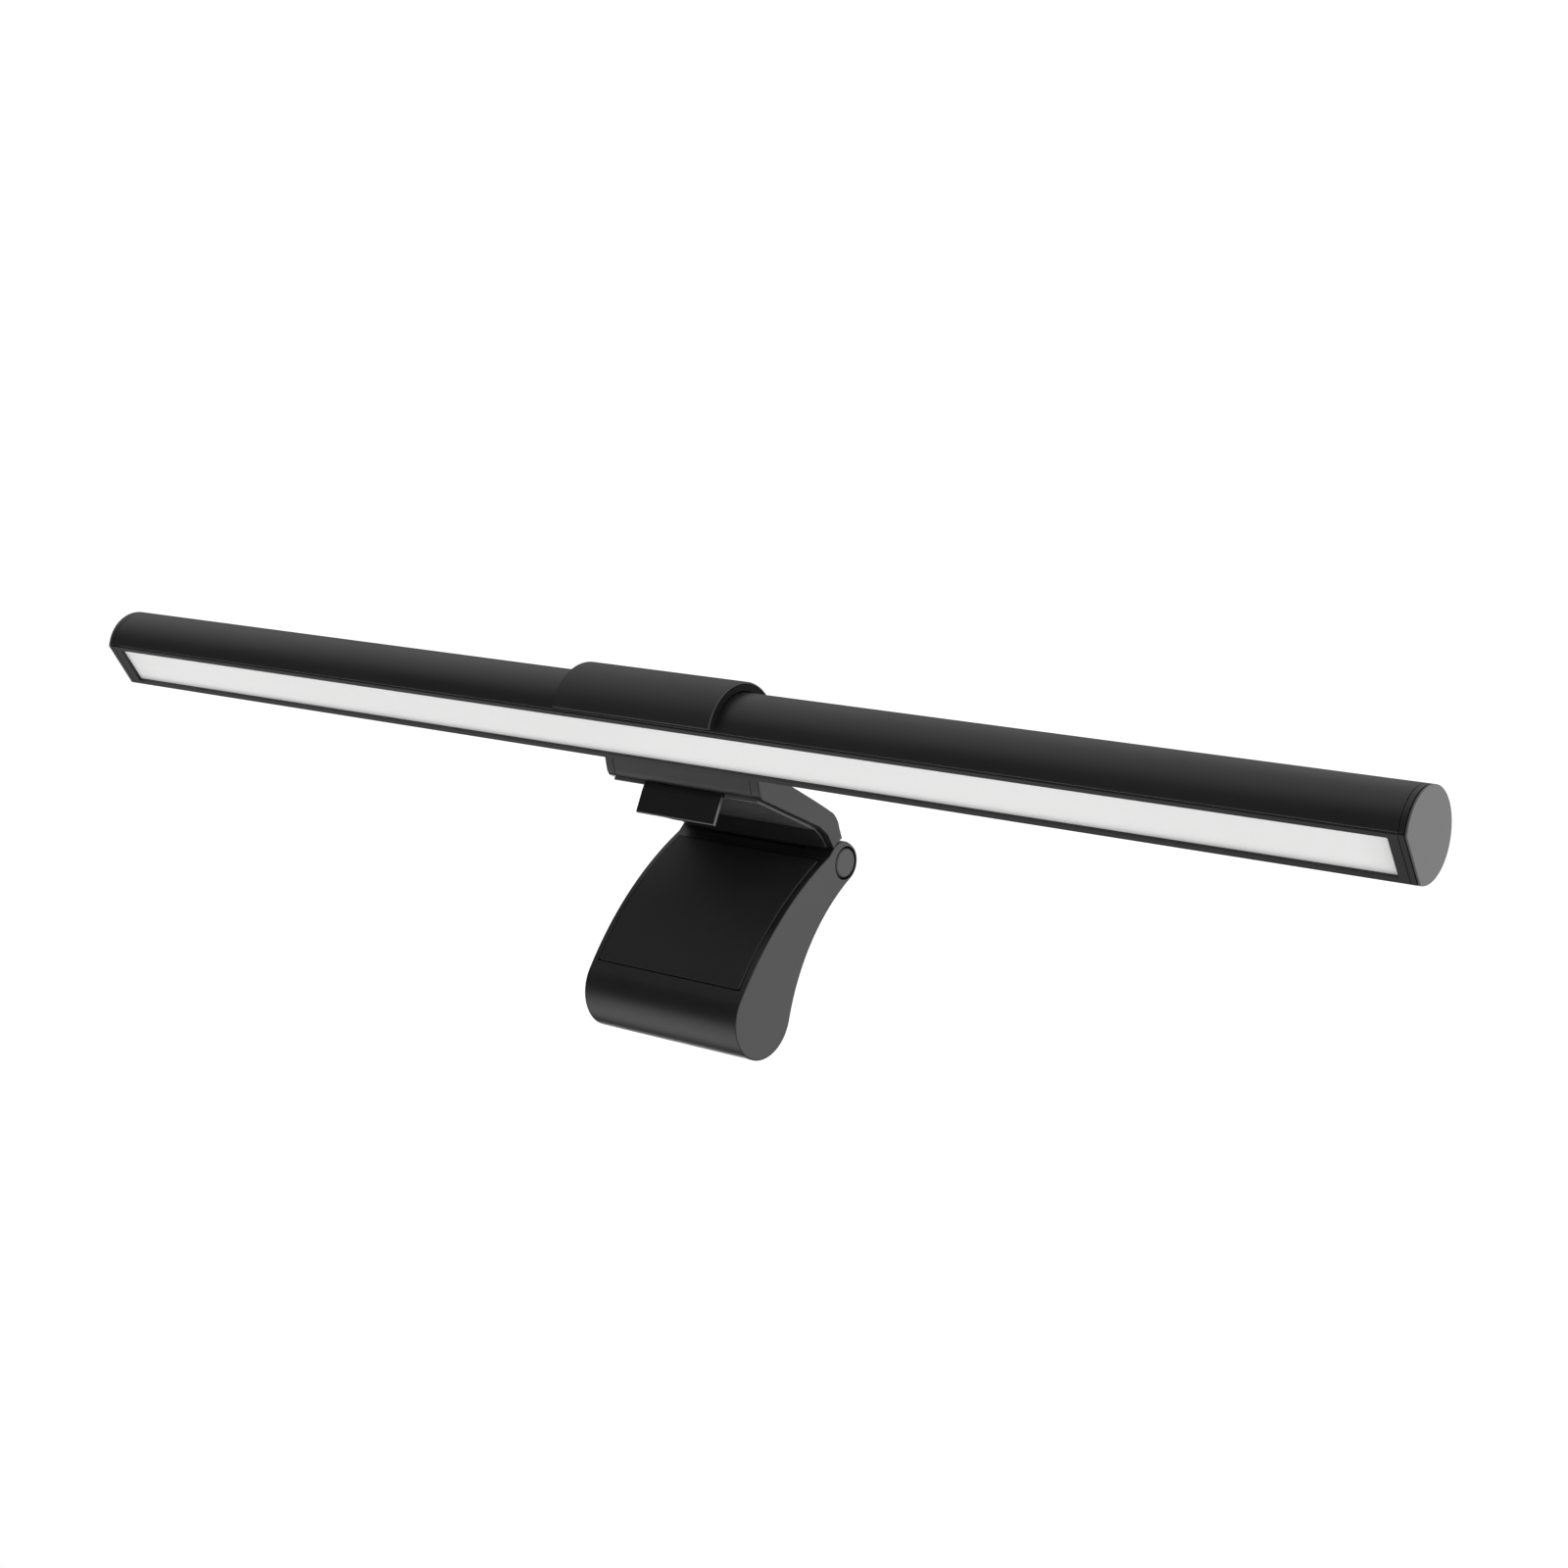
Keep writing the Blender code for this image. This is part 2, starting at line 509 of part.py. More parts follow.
def make_hook():
    """Lip that hangs in front of the screen, with a leg that runs back inside the neck."""
    leg_top, leg_bottom = 1.95, 0.95
    relief_y, relief_z = HOOK_BACK - 0.2, -0.2
    section = arc((HOOK_FRONT + 0.9, leg_top - 0.9), 0.9, 180.0, 90.0, 30.0)
    section += [(8.0, leg_top), (8.0, leg_bottom), (relief_y, leg_bottom), (relief_y, relief_z),
                (HOOK_BACK, relief_z)]
    section += arc((HOOK_BACK - 0.6, HOOK_BOTTOM + 0.6), 0.6, 0.0, -90.0, 30.0)
    section += arc((HOOK_FRONT + 0.6, HOOK_BOTTOM + 0.6), 0.6, 270.0, 180.0, 30.0)
    hook = prism("screen_hook", section, -HOOK_HALF, HOOK_HALF, GLOSS_BLACK)
    x, y, head_z, tip_z = CORE_SCREWS[0]
    for side in (-1, 1):
        cut(hook, csk_hole(f"hook_hole_{side}", (side * x, y, head_z), (0, 0, 1), tip_z - head_z))


def make_rest_plate():
    """Glossy plate under the neck: the face that rests on the screen."""
    section = [(-9.5, 0.15), (-9.35, 0.0), (18.4, 0.0), (22.4, -1.25), (26.1, -3.4), (25.9, -2.5),
               (22.25, -0.35), (18.2, 0.7), (-9.5, 0.7)]
    plate = prism("rest_plate", section, -27.5, 27.5, GLOSS_BLACK)
    cut(plate, box("hook_relief", (-HOOK_HALF - GAP, HOOK_HALF + GAP), (-12.0, HOOK_BACK + GAP), (-2.0, 2.0)))


def make_hinge_parts():
    """Thrust washers and the coiled spring that closes the arm."""
    for side, name in ((-1, "left"), (1, "right")):
        profile = [(PIN_RADIUS + 0.2, 0.6), (4.8, 0.6), (4.8, 0.0), (PIN_RADIUS + 0.2, 0.0),
                   (PIN_RADIUS + 0.2, 0.6)]
        turned(f"hinge_washer_{name}", profile, (side * 17.4, *PIN), (side, 0, 0), WHITE_PLASTIC)
    turns, points_per_turn, coil_radius = 8, 10, 2.75
    route = []
    for step in range(turns * points_per_turn + 1):
        x = -7.2 + 14.4 * step / (turns * points_per_turn)
        y, z = polar(PIN, coil_radius, 360.0 * step / points_per_turn)
        route.append((x, y, z))
    wire("torsion_spring", route, 0.5, STEEL)


# ---------------------------------------------------------------- clip: weighted arm (from the pin)
ROLL = (ROLL_Y, ROLL_Z)
FRONT_CENTRE = polar(ROLL, -(ARM_FRONT_RADIUS - ROLL_RADIUS), ARM_FRONT_TANGENT)


def back_curve_centre():
    """Centre of the hollow back: it touches both the round foot and the knuckle."""
    to_roll = ARM_BACK_RADIUS + ROLL_RADIUS
    to_knuckle = ARM_BACK_RADIUS + KNUCKLE_RADIUS
    span = math.hypot(*ROLL)
    along = (to_knuckle ** 2 - to_roll ** 2 + span ** 2) / (2 * span)
    across = math.sqrt(to_knuckle ** 2 - along ** 2)
    unit = (ROLL_Y / span, ROLL_Z / span)
    return (unit[0] * along - unit[1] * across, unit[1] * along + unit[0] * across)


BACK_CENTRE = back_curve_centre()
BACK_TOP = math.degrees(math.atan2(-BACK_CENTRE[1], -BACK_CENTRE[0]))
BACK_FOOT = math.degrees(math.atan2(ROLL_Z - BACK_CENTRE[1], ROLL_Y - BACK_CENTRE[0])) % 360.0
FOOT_JOIN = BACK_FOOT - 180.0


def nose_radius(angle):
    """The knuckle swells towards the nose that meets the neck when the arm is shut."""
    share = min(1.0, max(0.0, (angle - 75.0) / 90.0))
    return KNUCKLE_RADIUS + 1.75 * share * share * (3.0 - 2.0 * share)


def arm_outline():
    nose = [polar((0.0, 0.0), nose_radius(angle), angle) for angle in range(165, 69, -8)]
    knuckle = arc((0.0, 0.0), KNUCKLE_RADIUS, 62.0, BACK_TOP - 180.0, 8.0)
    back = arc(BACK_CENTRE, ARM_BACK_RADIUS, BACK_TOP, BACK_FOOT, 3.0)
    foot = arc(ROLL, ROLL_RADIUS, FOOT_JOIN, ARM_FRONT_TANGENT - 360.0, 7.5)
    front = arc(FRONT_CENTRE, ARM_FRONT_RADIUS, ARM_FRONT_TANGENT, 139.6, 2.0)
    return nose + knuckle + back[1:] + foot[1:] + front[1:]


def make_arm_shell():
    """Moulded arm: solid knuckles, a hollow for the weight, and a seat under the pad."""
    shell = prism("arm_shell", arm_outline(), -NECK_HALF, NECK_HALF, BLACK_SHELL, ARM)
    cut(shell, rod("arm_knuckle_room", (-ARM_KNUCKLE_INNER, 0, 0), (1, 0, 0), 2 * ARM_KNUCKLE_INNER, 6.0,
                   parent=ARM, sides=40))
    cut(shell, box("arm_web_room", (-ARM_KNUCKLE_INNER, ARM_KNUCKLE_INNER), (-9.0, 8.0), (1.0, 9.0), parent=ARM))
    cut(shell, rod("arm_pin_bore", (-30.0, 0, 0), (1, 0, 0), 60.0, PIN_RADIUS + 0.1, parent=ARM))
    for side in (-1, 1):
        cut(shell, rod(f"cap_bore_{side}", (side * 24.6, 0, 0), (side, 0, 0), 6.0, PIN_CAP_RADIUS + 0.25,
                       parent=ARM, sides=32))
    seat = ring_sector(FRONT_CENTRE, 92.0, 97.0, PAD_TOP - 0.2, PAD_END + 0.2, 2.0)
    cut(shell, prism("pad_seat", seat, -PAD_HALF - GAP, PAD_HALF + GAP, parent=ARM))
    cut(shell, prism("weight_hollow", weight_outline(0.0, 146.5), -24.3, 24.3, parent=ARM))
    for side in (-1, 1):
        cut(shell, arm_screw_hole(f"shell_screw_hole_{side}", side, ARM_SCREW_ANGLES[0]))


def weight_outline(inset, top_angle):
    """Outline inside the arm, set in from its back and foot, and up to an angle at the front."""
    front = arc(FRONT_CENTRE, 93.0 - 2.4 * inset, top_angle, 167.8, 2.0)
    foot = arc(ROLL, ROLL_RADIUS - ARM_WALL - inset, 153.0, 360.0 + FOOT_JOIN, 8.0)
    back_low = BACK_FOOT
    back_high = BACK_FOOT - (32.0 if inset == 0.0 else 22.0)
    back = arc(BACK_CENTRE, ARM_BACK_RADIUS + ARM_WALL + inset, back_low, back_high, 3.0)
    return front + foot + back[1:]


ARM_SCREW_ANGLES = (144.0, 163.5)
ARM_SCREW_X = 19.5
PLATE_OUTER, PLATE_INNER = 93.65, 92.3


def arm_screw_hole(name, side, angle):
    y, z = polar(FRONT_CENTRE, PLATE_OUTER, angle)
    inward = Vector((0, FRONT_CENTRE[0] - y, FRONT_CENTRE[1] - z)).normalized()
    return csk_hole(name, (side * ARM_SCREW_X, y, z), inward, 5.0, parent=ARM, head=2.0)


def make_arm_front():
    """Plate over the weight, its screws, and the rubber pad that hides them."""
    plate = prism("arm_front_plate", ring_sector(FRONT_CENTRE, PLATE_INNER, PLATE_OUTER, PAD_TOP, PAD_END, 2.0),
                  -PAD_HALF, PAD_HALF, BLACK_SHELL, ARM)
    prism("screen_pad", ring_sector(FRONT_CENTRE, PLATE_OUTER + GAP, ARM_FRONT_RADIUS + 0.1, PAD_TOP, PAD_END, 2.0),
          -PAD_HALF, PAD_HALF, RUBBER_BLACK, ARM)
    weight = prism("counterweight", weight_outline(0.4, 154.0), -23.8, 23.8, CAST_METAL, ARM)
    for side, word in ((-1, "left"), (1, "right")):
        for number, angle in enumerate(ARM_SCREW_ANGLES, 1):
            cut(plate, arm_screw_hole(f"plate_screw_hole_{word}_{number}", side, angle))
            y, z = polar(FRONT_CENTRE, PLATE_OUTER, angle)
            inward = Vector((0, FRONT_CENTRE[0] - y, FRONT_CENTRE[1] - z)).normalized()
            csk_screw(f"arm_screw_{word}_{number}", (side * ARM_SCREW_X, y, z), inward, 5.0, parent=ARM, head=2.0)
        cut(weight, arm_screw_hole(f"weight_screw_hole_{word}", side, ARM_SCREW_ANGLES[1]))


def make_pin():
    """Hinge pin held by the arm's outer knuckles, and the round caps over its ends."""
    profile = [(0.0, 48.4), (1.2, 48.4), (PIN_RADIUS, 48.1), (PIN_RADIUS, 0.3), (1.2, 0.0), (0.0, 0.0)]
    turned("hinge_pin", profile, (-24.2, 0, 0), (1, 0, 0), STEEL, ARM)
    for side, name in ((-1, "left"), (1, "right")):
        cap = [(0.0, 3.1), (PIN_CAP_RADIUS - 0.4, 3.1), (PIN_CAP_RADIUS, 2.7), (PIN_CAP_RADIUS, 0.0), (0.0, 0.0)]
        turned(f"pin_cap_{name}", cap, (side * 24.9, 0, 0), (side, 0, 0), GREY_CAP, ARM, steps=32)


make_tube()
make_bezel()
make_optics()
make_driver()
make_ends()
make_stop_pin()
make_leads()
make_saddle()
make_neck()
make_core()
make_hook()
make_rest_plate()
make_hinge_parts()
make_arm_shell()
make_arm_front()
make_pin()
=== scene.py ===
"""Looks for a clip-on screen light bar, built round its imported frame.

Outlines are drawn in millimetres in the YZ plane, as seen from the bar's right-hand end, and pulled
out along X. The lamp's own pieces are drawn with the light face straight down and are then turned
with the lamp; the arm's pieces are drawn from the hinge pin.
"""

import json
import math

import bmesh
import bpy
from mathutils import Matrix, Vector


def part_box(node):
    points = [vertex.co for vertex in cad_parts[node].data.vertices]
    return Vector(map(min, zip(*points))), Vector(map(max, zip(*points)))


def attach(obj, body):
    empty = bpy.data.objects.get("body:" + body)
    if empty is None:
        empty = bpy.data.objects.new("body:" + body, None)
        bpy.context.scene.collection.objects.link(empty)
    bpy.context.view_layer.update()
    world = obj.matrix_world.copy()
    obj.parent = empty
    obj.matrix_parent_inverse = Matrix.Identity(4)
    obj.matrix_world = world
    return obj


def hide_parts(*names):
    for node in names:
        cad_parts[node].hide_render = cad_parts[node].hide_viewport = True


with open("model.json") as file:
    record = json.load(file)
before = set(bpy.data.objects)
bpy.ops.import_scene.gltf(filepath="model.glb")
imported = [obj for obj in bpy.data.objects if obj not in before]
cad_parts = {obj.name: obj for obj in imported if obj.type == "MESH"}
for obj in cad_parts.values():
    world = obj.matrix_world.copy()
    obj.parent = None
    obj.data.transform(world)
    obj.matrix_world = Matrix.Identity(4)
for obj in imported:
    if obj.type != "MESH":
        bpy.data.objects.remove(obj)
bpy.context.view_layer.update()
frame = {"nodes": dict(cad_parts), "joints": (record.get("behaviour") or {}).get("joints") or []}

bl_info = {
    "name": "Screen light bar",
    "version": (1, 0, 0),
    "blender": (4, 5, 0),
    "location": "View3D > Sidebar > Light bar",
    "description": "Builds the visible pieces of a clip-on screen light bar",
    "category": "Object",
}

MM = 0.001


# ------------------------------------------------------------ places taken from the frame
def hinge_line(name):
    """Where a joint's axis crosses the YZ plane, in millimetres."""
    joint = next(item for item in frame["joints"] if item["name"] == name)
    return (joint["pos_m"][1] / MM, joint["pos_m"][2] / MM)


def reach(node, axis=0):
    """Lowest and highest value of a node along an axis, in millimetres."""
    low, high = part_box(node)
    return (low[axis] / MM, high[axis] / MM)


BAR = hinge_line("bar_tilt")
PIN = hinge_line("arm_swing")
BAR_TURN = -32.0
TUBE_END = reach("tube_housing")[1]
RING_START, RING_END = reach("end_ring_right")[0], reach("bezel_frame")[1]
PLATE_START, PLATE_END = reach("end_plate_right")
SADDLE_END = reach("saddle_shell")[1]
NECK_END = reach("neck_housing")[1]
HOOK_END = reach("screen_hook")[1]
REST_END = reach("rest_plate")[1]
ARM_END = reach("arm_shell")[1]
PAD_END = reach("screen_pad")[1]
INLET_X = sum(reach("usb_c_inlet")) / 2

# Millimetres, and degrees from +Y towards +Z.
AXIS = (0.0, 0.0)
TUBE_RADIUS, TUBE_INNER, TUBE_EDGE = 11.4, 10.4, 45.8
FACE_Z = -8.55
WINDOW_END, WINDOW_HALF, LENS_END, LENS_HALF = 219.0, 6.2, 220.2, 6.9
END_GROOVE, RING_STEP = (221.55, 221.80), 0.14
PORT_REACH, PORT_ANGLES = 8.9, (55.0, 125.0)
STOP_ANGLE = 60.0
SCREW_HOLE, SCREW_HEAD = 1.2, 2.35
SADDLE_SCREW_X, SADDLE_SCREW_ANGLE = 14.0, -20.0
REST_RIM = 1.9
HOOK_BOW, HOOK_CHAMFER = 15.3, 1.3
SADDLE_INNER, SADDLE_OUTER, SADDLE_FRONT, SADDLE_BACK = 12.6, 14.2, 191.5, -37.0
LINER_INNER, LINER_OUTER, LIP_RADIUS = 11.7, 12.3, 13.75
KNUCKLE_RADIUS, PIN_BORE, PIN_CAP_RADIUS, BARREL_END = 5.5, 1.6, 4.4, 18.2
ROLL, ROLL_RADIUS = (-17.7, -48.9), 11.9
FRONT_RADIUS, FRONT_TANGENT, FRONT_TOP = 95.0, 171.0, 139.6
BACK_RADIUS = 56.5
PAD_LOW, PAD_HIGH = 169.0, 141.0
ROUND_CORNER = 60.0


def polar(centre, radius, degrees):
    """Point at an angle from +Y towards +Z about a centre."""
    turn = math.radians(degrees)
    return (centre[0] + radius * math.cos(turn), centre[1] + radius * math.sin(turn))


FRONT_CENTRE = polar(ROLL, ROLL_RADIUS - FRONT_RADIUS, FRONT_TANGENT)


# ------------------------------------------------------------ sizes and colours a user may change
class LightBarSizes(bpy.types.PropertyGroup):
    rim_edge: bpy.props.FloatProperty(
        name="Rim edge", description="Rounding of the tube's and the end plates' rims",
        default=0.14 * MM, min=0.02 * MM, max=0.3 * MM, precision=5, subtype="DISTANCE",
        unit="LENGTH")
    saddle_edge: bpy.props.FloatProperty(
        name="Saddle edge", description="Rounding of the saddle's edges",
        default=0.38 * MM, min=0.05 * MM, max=0.7 * MM, precision=5, subtype="DISTANCE",
        unit="LENGTH")
    neck_edge: bpy.props.FloatProperty(
        name="Neck edge", description="Rounding of the neck's side edges",
        default=0.25 * MM, min=0.05 * MM, max=1.0 * MM, precision=5, subtype="DISTANCE",
        unit="LENGTH")
    arm_edge: bpy.props.FloatProperty(
        name="Arm edge", description="Rounding of the arm's side edges",
        default=0.45 * MM, min=0.05 * MM, max=1.0 * MM, precision=5, subtype="DISTANCE",
        unit="LENGTH")
    pad_edge: bpy.props.FloatProperty(
        name="Pad edge", description="Rounding of the rubber pad's edges",
        default=0.32 * MM, min=0.05 * MM, max=0.5 * MM, precision=5, subtype="DISTANCE",
        unit="LENGTH")
    cheek: bpy.props.FloatProperty(
        name="Neck cheek", description="Thickness of the plates at the two sides of the neck",
        default=3.0 * MM, min=1.2 * MM, max=4.0 * MM, precision=5, subtype="DISTANCE",
        unit="LENGTH")
    floor_drop: bpy.props.FloatProperty(
        name="Floor drop", description="How far the studio floor lies below the clip",
        default=0.90, min=0.2, max=2.0, subtype="DISTANCE", unit="LENGTH")


class LightBarColours(bpy.types.PropertyGroup):
    tube: bpy.props.FloatVectorProperty(
        name="Tube", description="Anodised tube and its end rings",
        default=(0.0085, 0.0085, 0.0090), size=3, subtype="COLOR", min=0.0, max=1.0)
    saddle: bpy.props.FloatVectorProperty(
        name="Saddle", description="Sleeve round the tube",
        default=(0.014, 0.014, 0.0145), size=3, subtype="COLOR", min=0.0, max=1.0)
    shell: bpy.props.FloatVectorProperty(
        name="Shell", description="Moulded neck, arm and bezel",
        default=(0.010, 0.010, 0.0104), size=3, subtype="COLOR", min=0.0, max=1.0)
    cap: bpy.props.FloatVectorProperty(
        name="Caps", description="End plates and pin caps",
        default=(0.092, 0.092, 0.093), size=3, subtype="COLOR", min=0.0, max=1.0)
    gloss: bpy.props.FloatVectorProperty(
        name="Polished black", description="Hook in front of the screen",
        default=(0.006, 0.006, 0.0065), size=3, subtype="COLOR", min=0.0, max=1.0)
    pad: bpy.props.FloatVectorProperty(
        name="Rubber", description="Screen pad",
        default=(0.012, 0.012, 0.012), size=3, subtype="COLOR", min=0.0, max=1.0)
    diffuser: bpy.props.FloatVectorProperty(
        name="Diffuser", description="Frosted light face",
        default=(0.66, 0.66, 0.655), size=3, subtype="COLOR", min=0.0, max=1.0)


def sizes():
    return bpy.context.scene.light_bar_sizes


def colours():
    return bpy.context.scene.light_bar_colours


# ------------------------------------------------------------ finishes
def new_nodes(name):
    finish = bpy.data.materials.new(name)
    finish.use_nodes = True
    tree = finish.node_tree
    return finish, tree, tree.nodes["Principled BSDF"]


def add_node(tree, kind, links=(), **values):
    """A shader node with its sockets set, and linked from (socket, source) pairs."""
    node = tree.nodes.new("ShaderNode" + kind)
    for name, value in values.items():
        node.inputs[name.replace("_", " ")].default_value = value
    for socket, source in links:
        tree.links.new(source, node.inputs[socket])
    return node


def grain_source(tree, stretch=(1.0, 1.0, 1.0)):
    """Object coordinates, stretched along the axes a finish runs in."""
    place = add_node(tree, "TexCoord").outputs["Object"]
    return add_node(tree, "Mapping", [("Vector", place)], Scale=stretch).outputs["Vector"]


def noise(tree, source, scale, detail=3.0, roughness=0.55):
    return add_node(tree, "TexNoise", [("Vector", source)], Scale=scale, Detail=detail,
                    Roughness=roughness).outputs["Fac"]


def fade(tree, source, start, end, low, high):
    """Carry a value smoothly from one level to another between two places."""
    node = add_node(tree, "MapRange", [("Value", source)], From_Min=start, From_Max=end,
                    To_Min=low, To_Max=high)
    node.interpolation_type = "SMOOTHSTEP"
    return node.outputs["Result"]


def spread(tree, source, low, high):
    """Map a grain's middle part to a range of values."""
    return add_node(tree, "MapRange", [("Value", source)], From_Min=0.3, From_Max=0.7, To_Min=low,
                    To_Max=high).outputs["Result"]


def tint(tree, shader, source, colour, depth):
    """Vary the base colour a little with a slow grain."""
    ramp = add_node(tree, "ValToRGB", [("Fac", source)])
    shares = (1.0 - depth, 1.0 + depth)
    for stop, position, share in zip(ramp.color_ramp.elements, (0.35, 0.65), shares):
        stop.position = position
        stop.color = (*[min(1.0, value * share) for value in colour], 1.0)
    tree.links.new(ramp.outputs["Color"], shader.inputs["Base Color"])


def relief(tree, shader, source, distance, strength):
    bump = add_node(tree, "Bump", [("Height", source)], Distance=distance, Strength=strength)
    tree.links.new(bump.outputs["Normal"], shader.inputs["Normal"])


def surface(name, colour, roughness, spread_of=0.04, metallic=0.0, grain=2600.0, depth=0.012,
            bump=0.35, blotch=55.0, shade=0.10, stretch=(1.0, 1.0, 1.0), coat=0.0, specular=0.5):
    """A finish with fine relief, slow colour drift and a roughness that wanders a little."""
    finish, tree, shader = new_nodes(name)
    fine = noise(tree, grain_source(tree, stretch), grain)
    slow = noise(tree, grain_source(tree), blotch, detail=4.0)
    tint(tree, shader, slow, colour, shade)
    rough = spread(tree, slow, roughness - spread_of, roughness + spread_of)
    tree.links.new(rough, shader.inputs["Roughness"])
    relief(tree, shader, fine, depth * MM, bump)
    shader.inputs["Metallic"].default_value = metallic
    shader.inputs["Specular IOR Level"].default_value = specular
    shader.inputs["Coat Weight"].default_value = coat
    shader.inputs["Coat Roughness"].default_value = 0.08
    finish.diffuse_color = (*colour, 1.0)
    return finish


def anodised_black():
    """Satin anodised extrusion: faint die lines along the bar over a sand-blasted grain."""
    return surface("anodised_black", colours().tube, 0.40, 0.03, grain=1500.0, depth=0.010,
                   bump=0.30, stretch=(0.02, 1.0, 1.0), blotch=18.0, shade=0.08, specular=0.62)


def saddle_black():
    return surface("saddle_black", colours().saddle, 0.42, 0.03, grain=2400.0, depth=0.010,
                   bump=0.25, blotch=40.0)


def shell_black(name="shell_black", painted_light_lift=1.0, specular=0.5):
    """Fine spark-eroded mould texture; a lift above one lightens its colour as painted light."""
    return surface(name, [value * painted_light_lift for value in colours().shell], 0.37, 0.04, grain=3000.0,
                   depth=0.014, bump=0.35, blotch=60.0, specular=specular)


def cap_grey():
    return surface("cap_grey", colours().cap, 0.48, 0.04, grain=3200.0, depth=0.012, bump=0.35,
                   blotch=80.0, shade=0.05)


def gloss_black():
    """Polished moulding with a faint orange peel and hairline scuffs."""
    return surface("gloss_black", colours().gloss, 0.24, 0.04, grain=160.0, depth=0.010, bump=0.10,
                   blotch=120.0, stretch=(1.0, 1.6, 1.0), coat=0.3, specular=0.6)


def rest_black(name, shade):
    """Satin underside that the screen's edge rests against, in a grey set by shade; the plate takes
    a lighter copy as painted light and a darker copy as painted shade.
    """
    return surface(name, (shade, shade, shade * 1.02), 0.20, 0.04, grain=900.0, depth=0.008,
                   bump=0.15, blotch=90.0)


def pad_rubber():
    """Moulded silicone: matt, with dust-fine speckle."""
    return surface("pad_rubber", colours().pad, 0.58, 0.05, grain=4200.0, depth=0.012, bump=0.30,
                   blotch=45.0, shade=0.16, specular=0.4)


def liner_rubber():
    return surface("liner_rubber", (0.005, 0.005, 0.005), 0.75, 0.05, grain=5200.0, depth=0.02,
                   bump=0.5, specular=0.12)


def frosted_white():
    """Opal diffuser with faint lens ribs, lit from behind; its glow is dimmed at its ends and long
    edges as painted shade of the bezel's recess.
    """
    finish, tree, shader = new_nodes("frosted_white")
    white = colours().diffuser
    tint(tree, shader, noise(tree, grain_source(tree, (0.4, 1.0, 1.0)), 30.0), white, 0.012)
    ribs = add_node(tree, "TexWave", [("Vector", grain_source(tree))], Scale=190.0, Distortion=0.0)
    ribs.wave_type = "BANDS"
    ribs.bands_direction = "X"
    relief(tree, shader, ribs.outputs["Fac"], 0.02 * MM, 0.25)
    back_turn = Matrix.Rotation(math.radians(-BAR_TURN), 3, "X")
    lamp_place = add_node(tree, "Mapping", [("Vector", grain_source(tree))],
                          Rotation=back_turn.to_euler(),
                          Location=back_turn @ Vector((0.0, *BAR)) * -MM).outputs["Vector"]
    across = add_node(tree, "SeparateXYZ", [("Vector", lamp_place)]).outputs
    along = add_node(tree, "Math", [(0, across["X"])])
    along.operation = "ABSOLUTE"
    # Dimming the glow towards the ends and along the long edges paints the shade of the bezel's
    # recess.
    glow = fade(tree, along.outputs["Value"], 0.208, 0.221, 1.0, 0.80)
    for start, end, low in ((0.0035, 0.0064, 0.78), (-0.0045, -0.0066, 0.86)):
        edge = fade(tree, across["Y"], start, end, 1.0, low)
        product = add_node(tree, "Math", [(0, glow), (1, edge)])
        product.operation = "MULTIPLY"
        glow = product.outputs["Value"]
    tree.links.new(glow, shader.inputs["Emission Color"])
    shader.inputs["Emission Strength"].default_value = 0.32
    shader.inputs["Roughness"].default_value = 0.42
    shader.inputs["Subsurface Weight"].default_value = 0.35
    shader.inputs["Subsurface Radius"].default_value = (0.002, 0.002, 0.002)
    finish.diffuse_color = (*white, 1.0)
    return finish


def white_film():
    return surface("white_film", (0.84, 0.84, 0.83), 0.35, 0.05, grain=900.0, depth=0.01, bump=0.2,
                   shade=0.03)


def board_mask(name, colour):
    """Solder mask: a slight weave of the laminate under a glossy skin."""
    return surface(name, colour, 0.34, 0.06, grain=1400.0, depth=0.02, bump=0.4, shade=0.12,
                   coat=0.2)


def bright_steel():
    return surface("bright_steel", (0.52, 0.52, 0.53), 0.26, 0.06, metallic=1.0, grain=1800.0,
                   depth=0.008, bump=0.3, stretch=(0.25, 1.0, 1.0), shade=0.06)


def bare_aluminium():
    return surface("bare_aluminium", (0.72, 0.72, 0.74), 0.33, 0.06, metallic=1.0, grain=1500.0,
                   depth=0.01, bump=0.35, stretch=(0.03, 1.0, 1.0), shade=0.05)


def cast_metal():
    return surface("cast_metal", (0.27, 0.27, 0.28), 0.52, 0.08, metallic=1.0, grain=700.0,
                   depth=0.05, bump=0.5, shade=0.12)


def dark_casting():
    """Zinc casting with a thin black conversion coat."""
    return surface("dark_casting", (0.085, 0.085, 0.088), 0.46, 0.06, metallic=1.0, grain=900.0,
                   depth=0.03, bump=0.4, shade=0.12)


def natural_nylon():
    return surface("natural_nylon", (0.78, 0.77, 0.73), 0.42, 0.05, grain=1500.0, depth=0.01,
                   bump=0.25, shade=0.04)


def lead_skin(name, colour):
    return surface(name, colour, 0.42, 0.05, grain=1800.0, depth=0.01, bump=0.2, shade=0.06)


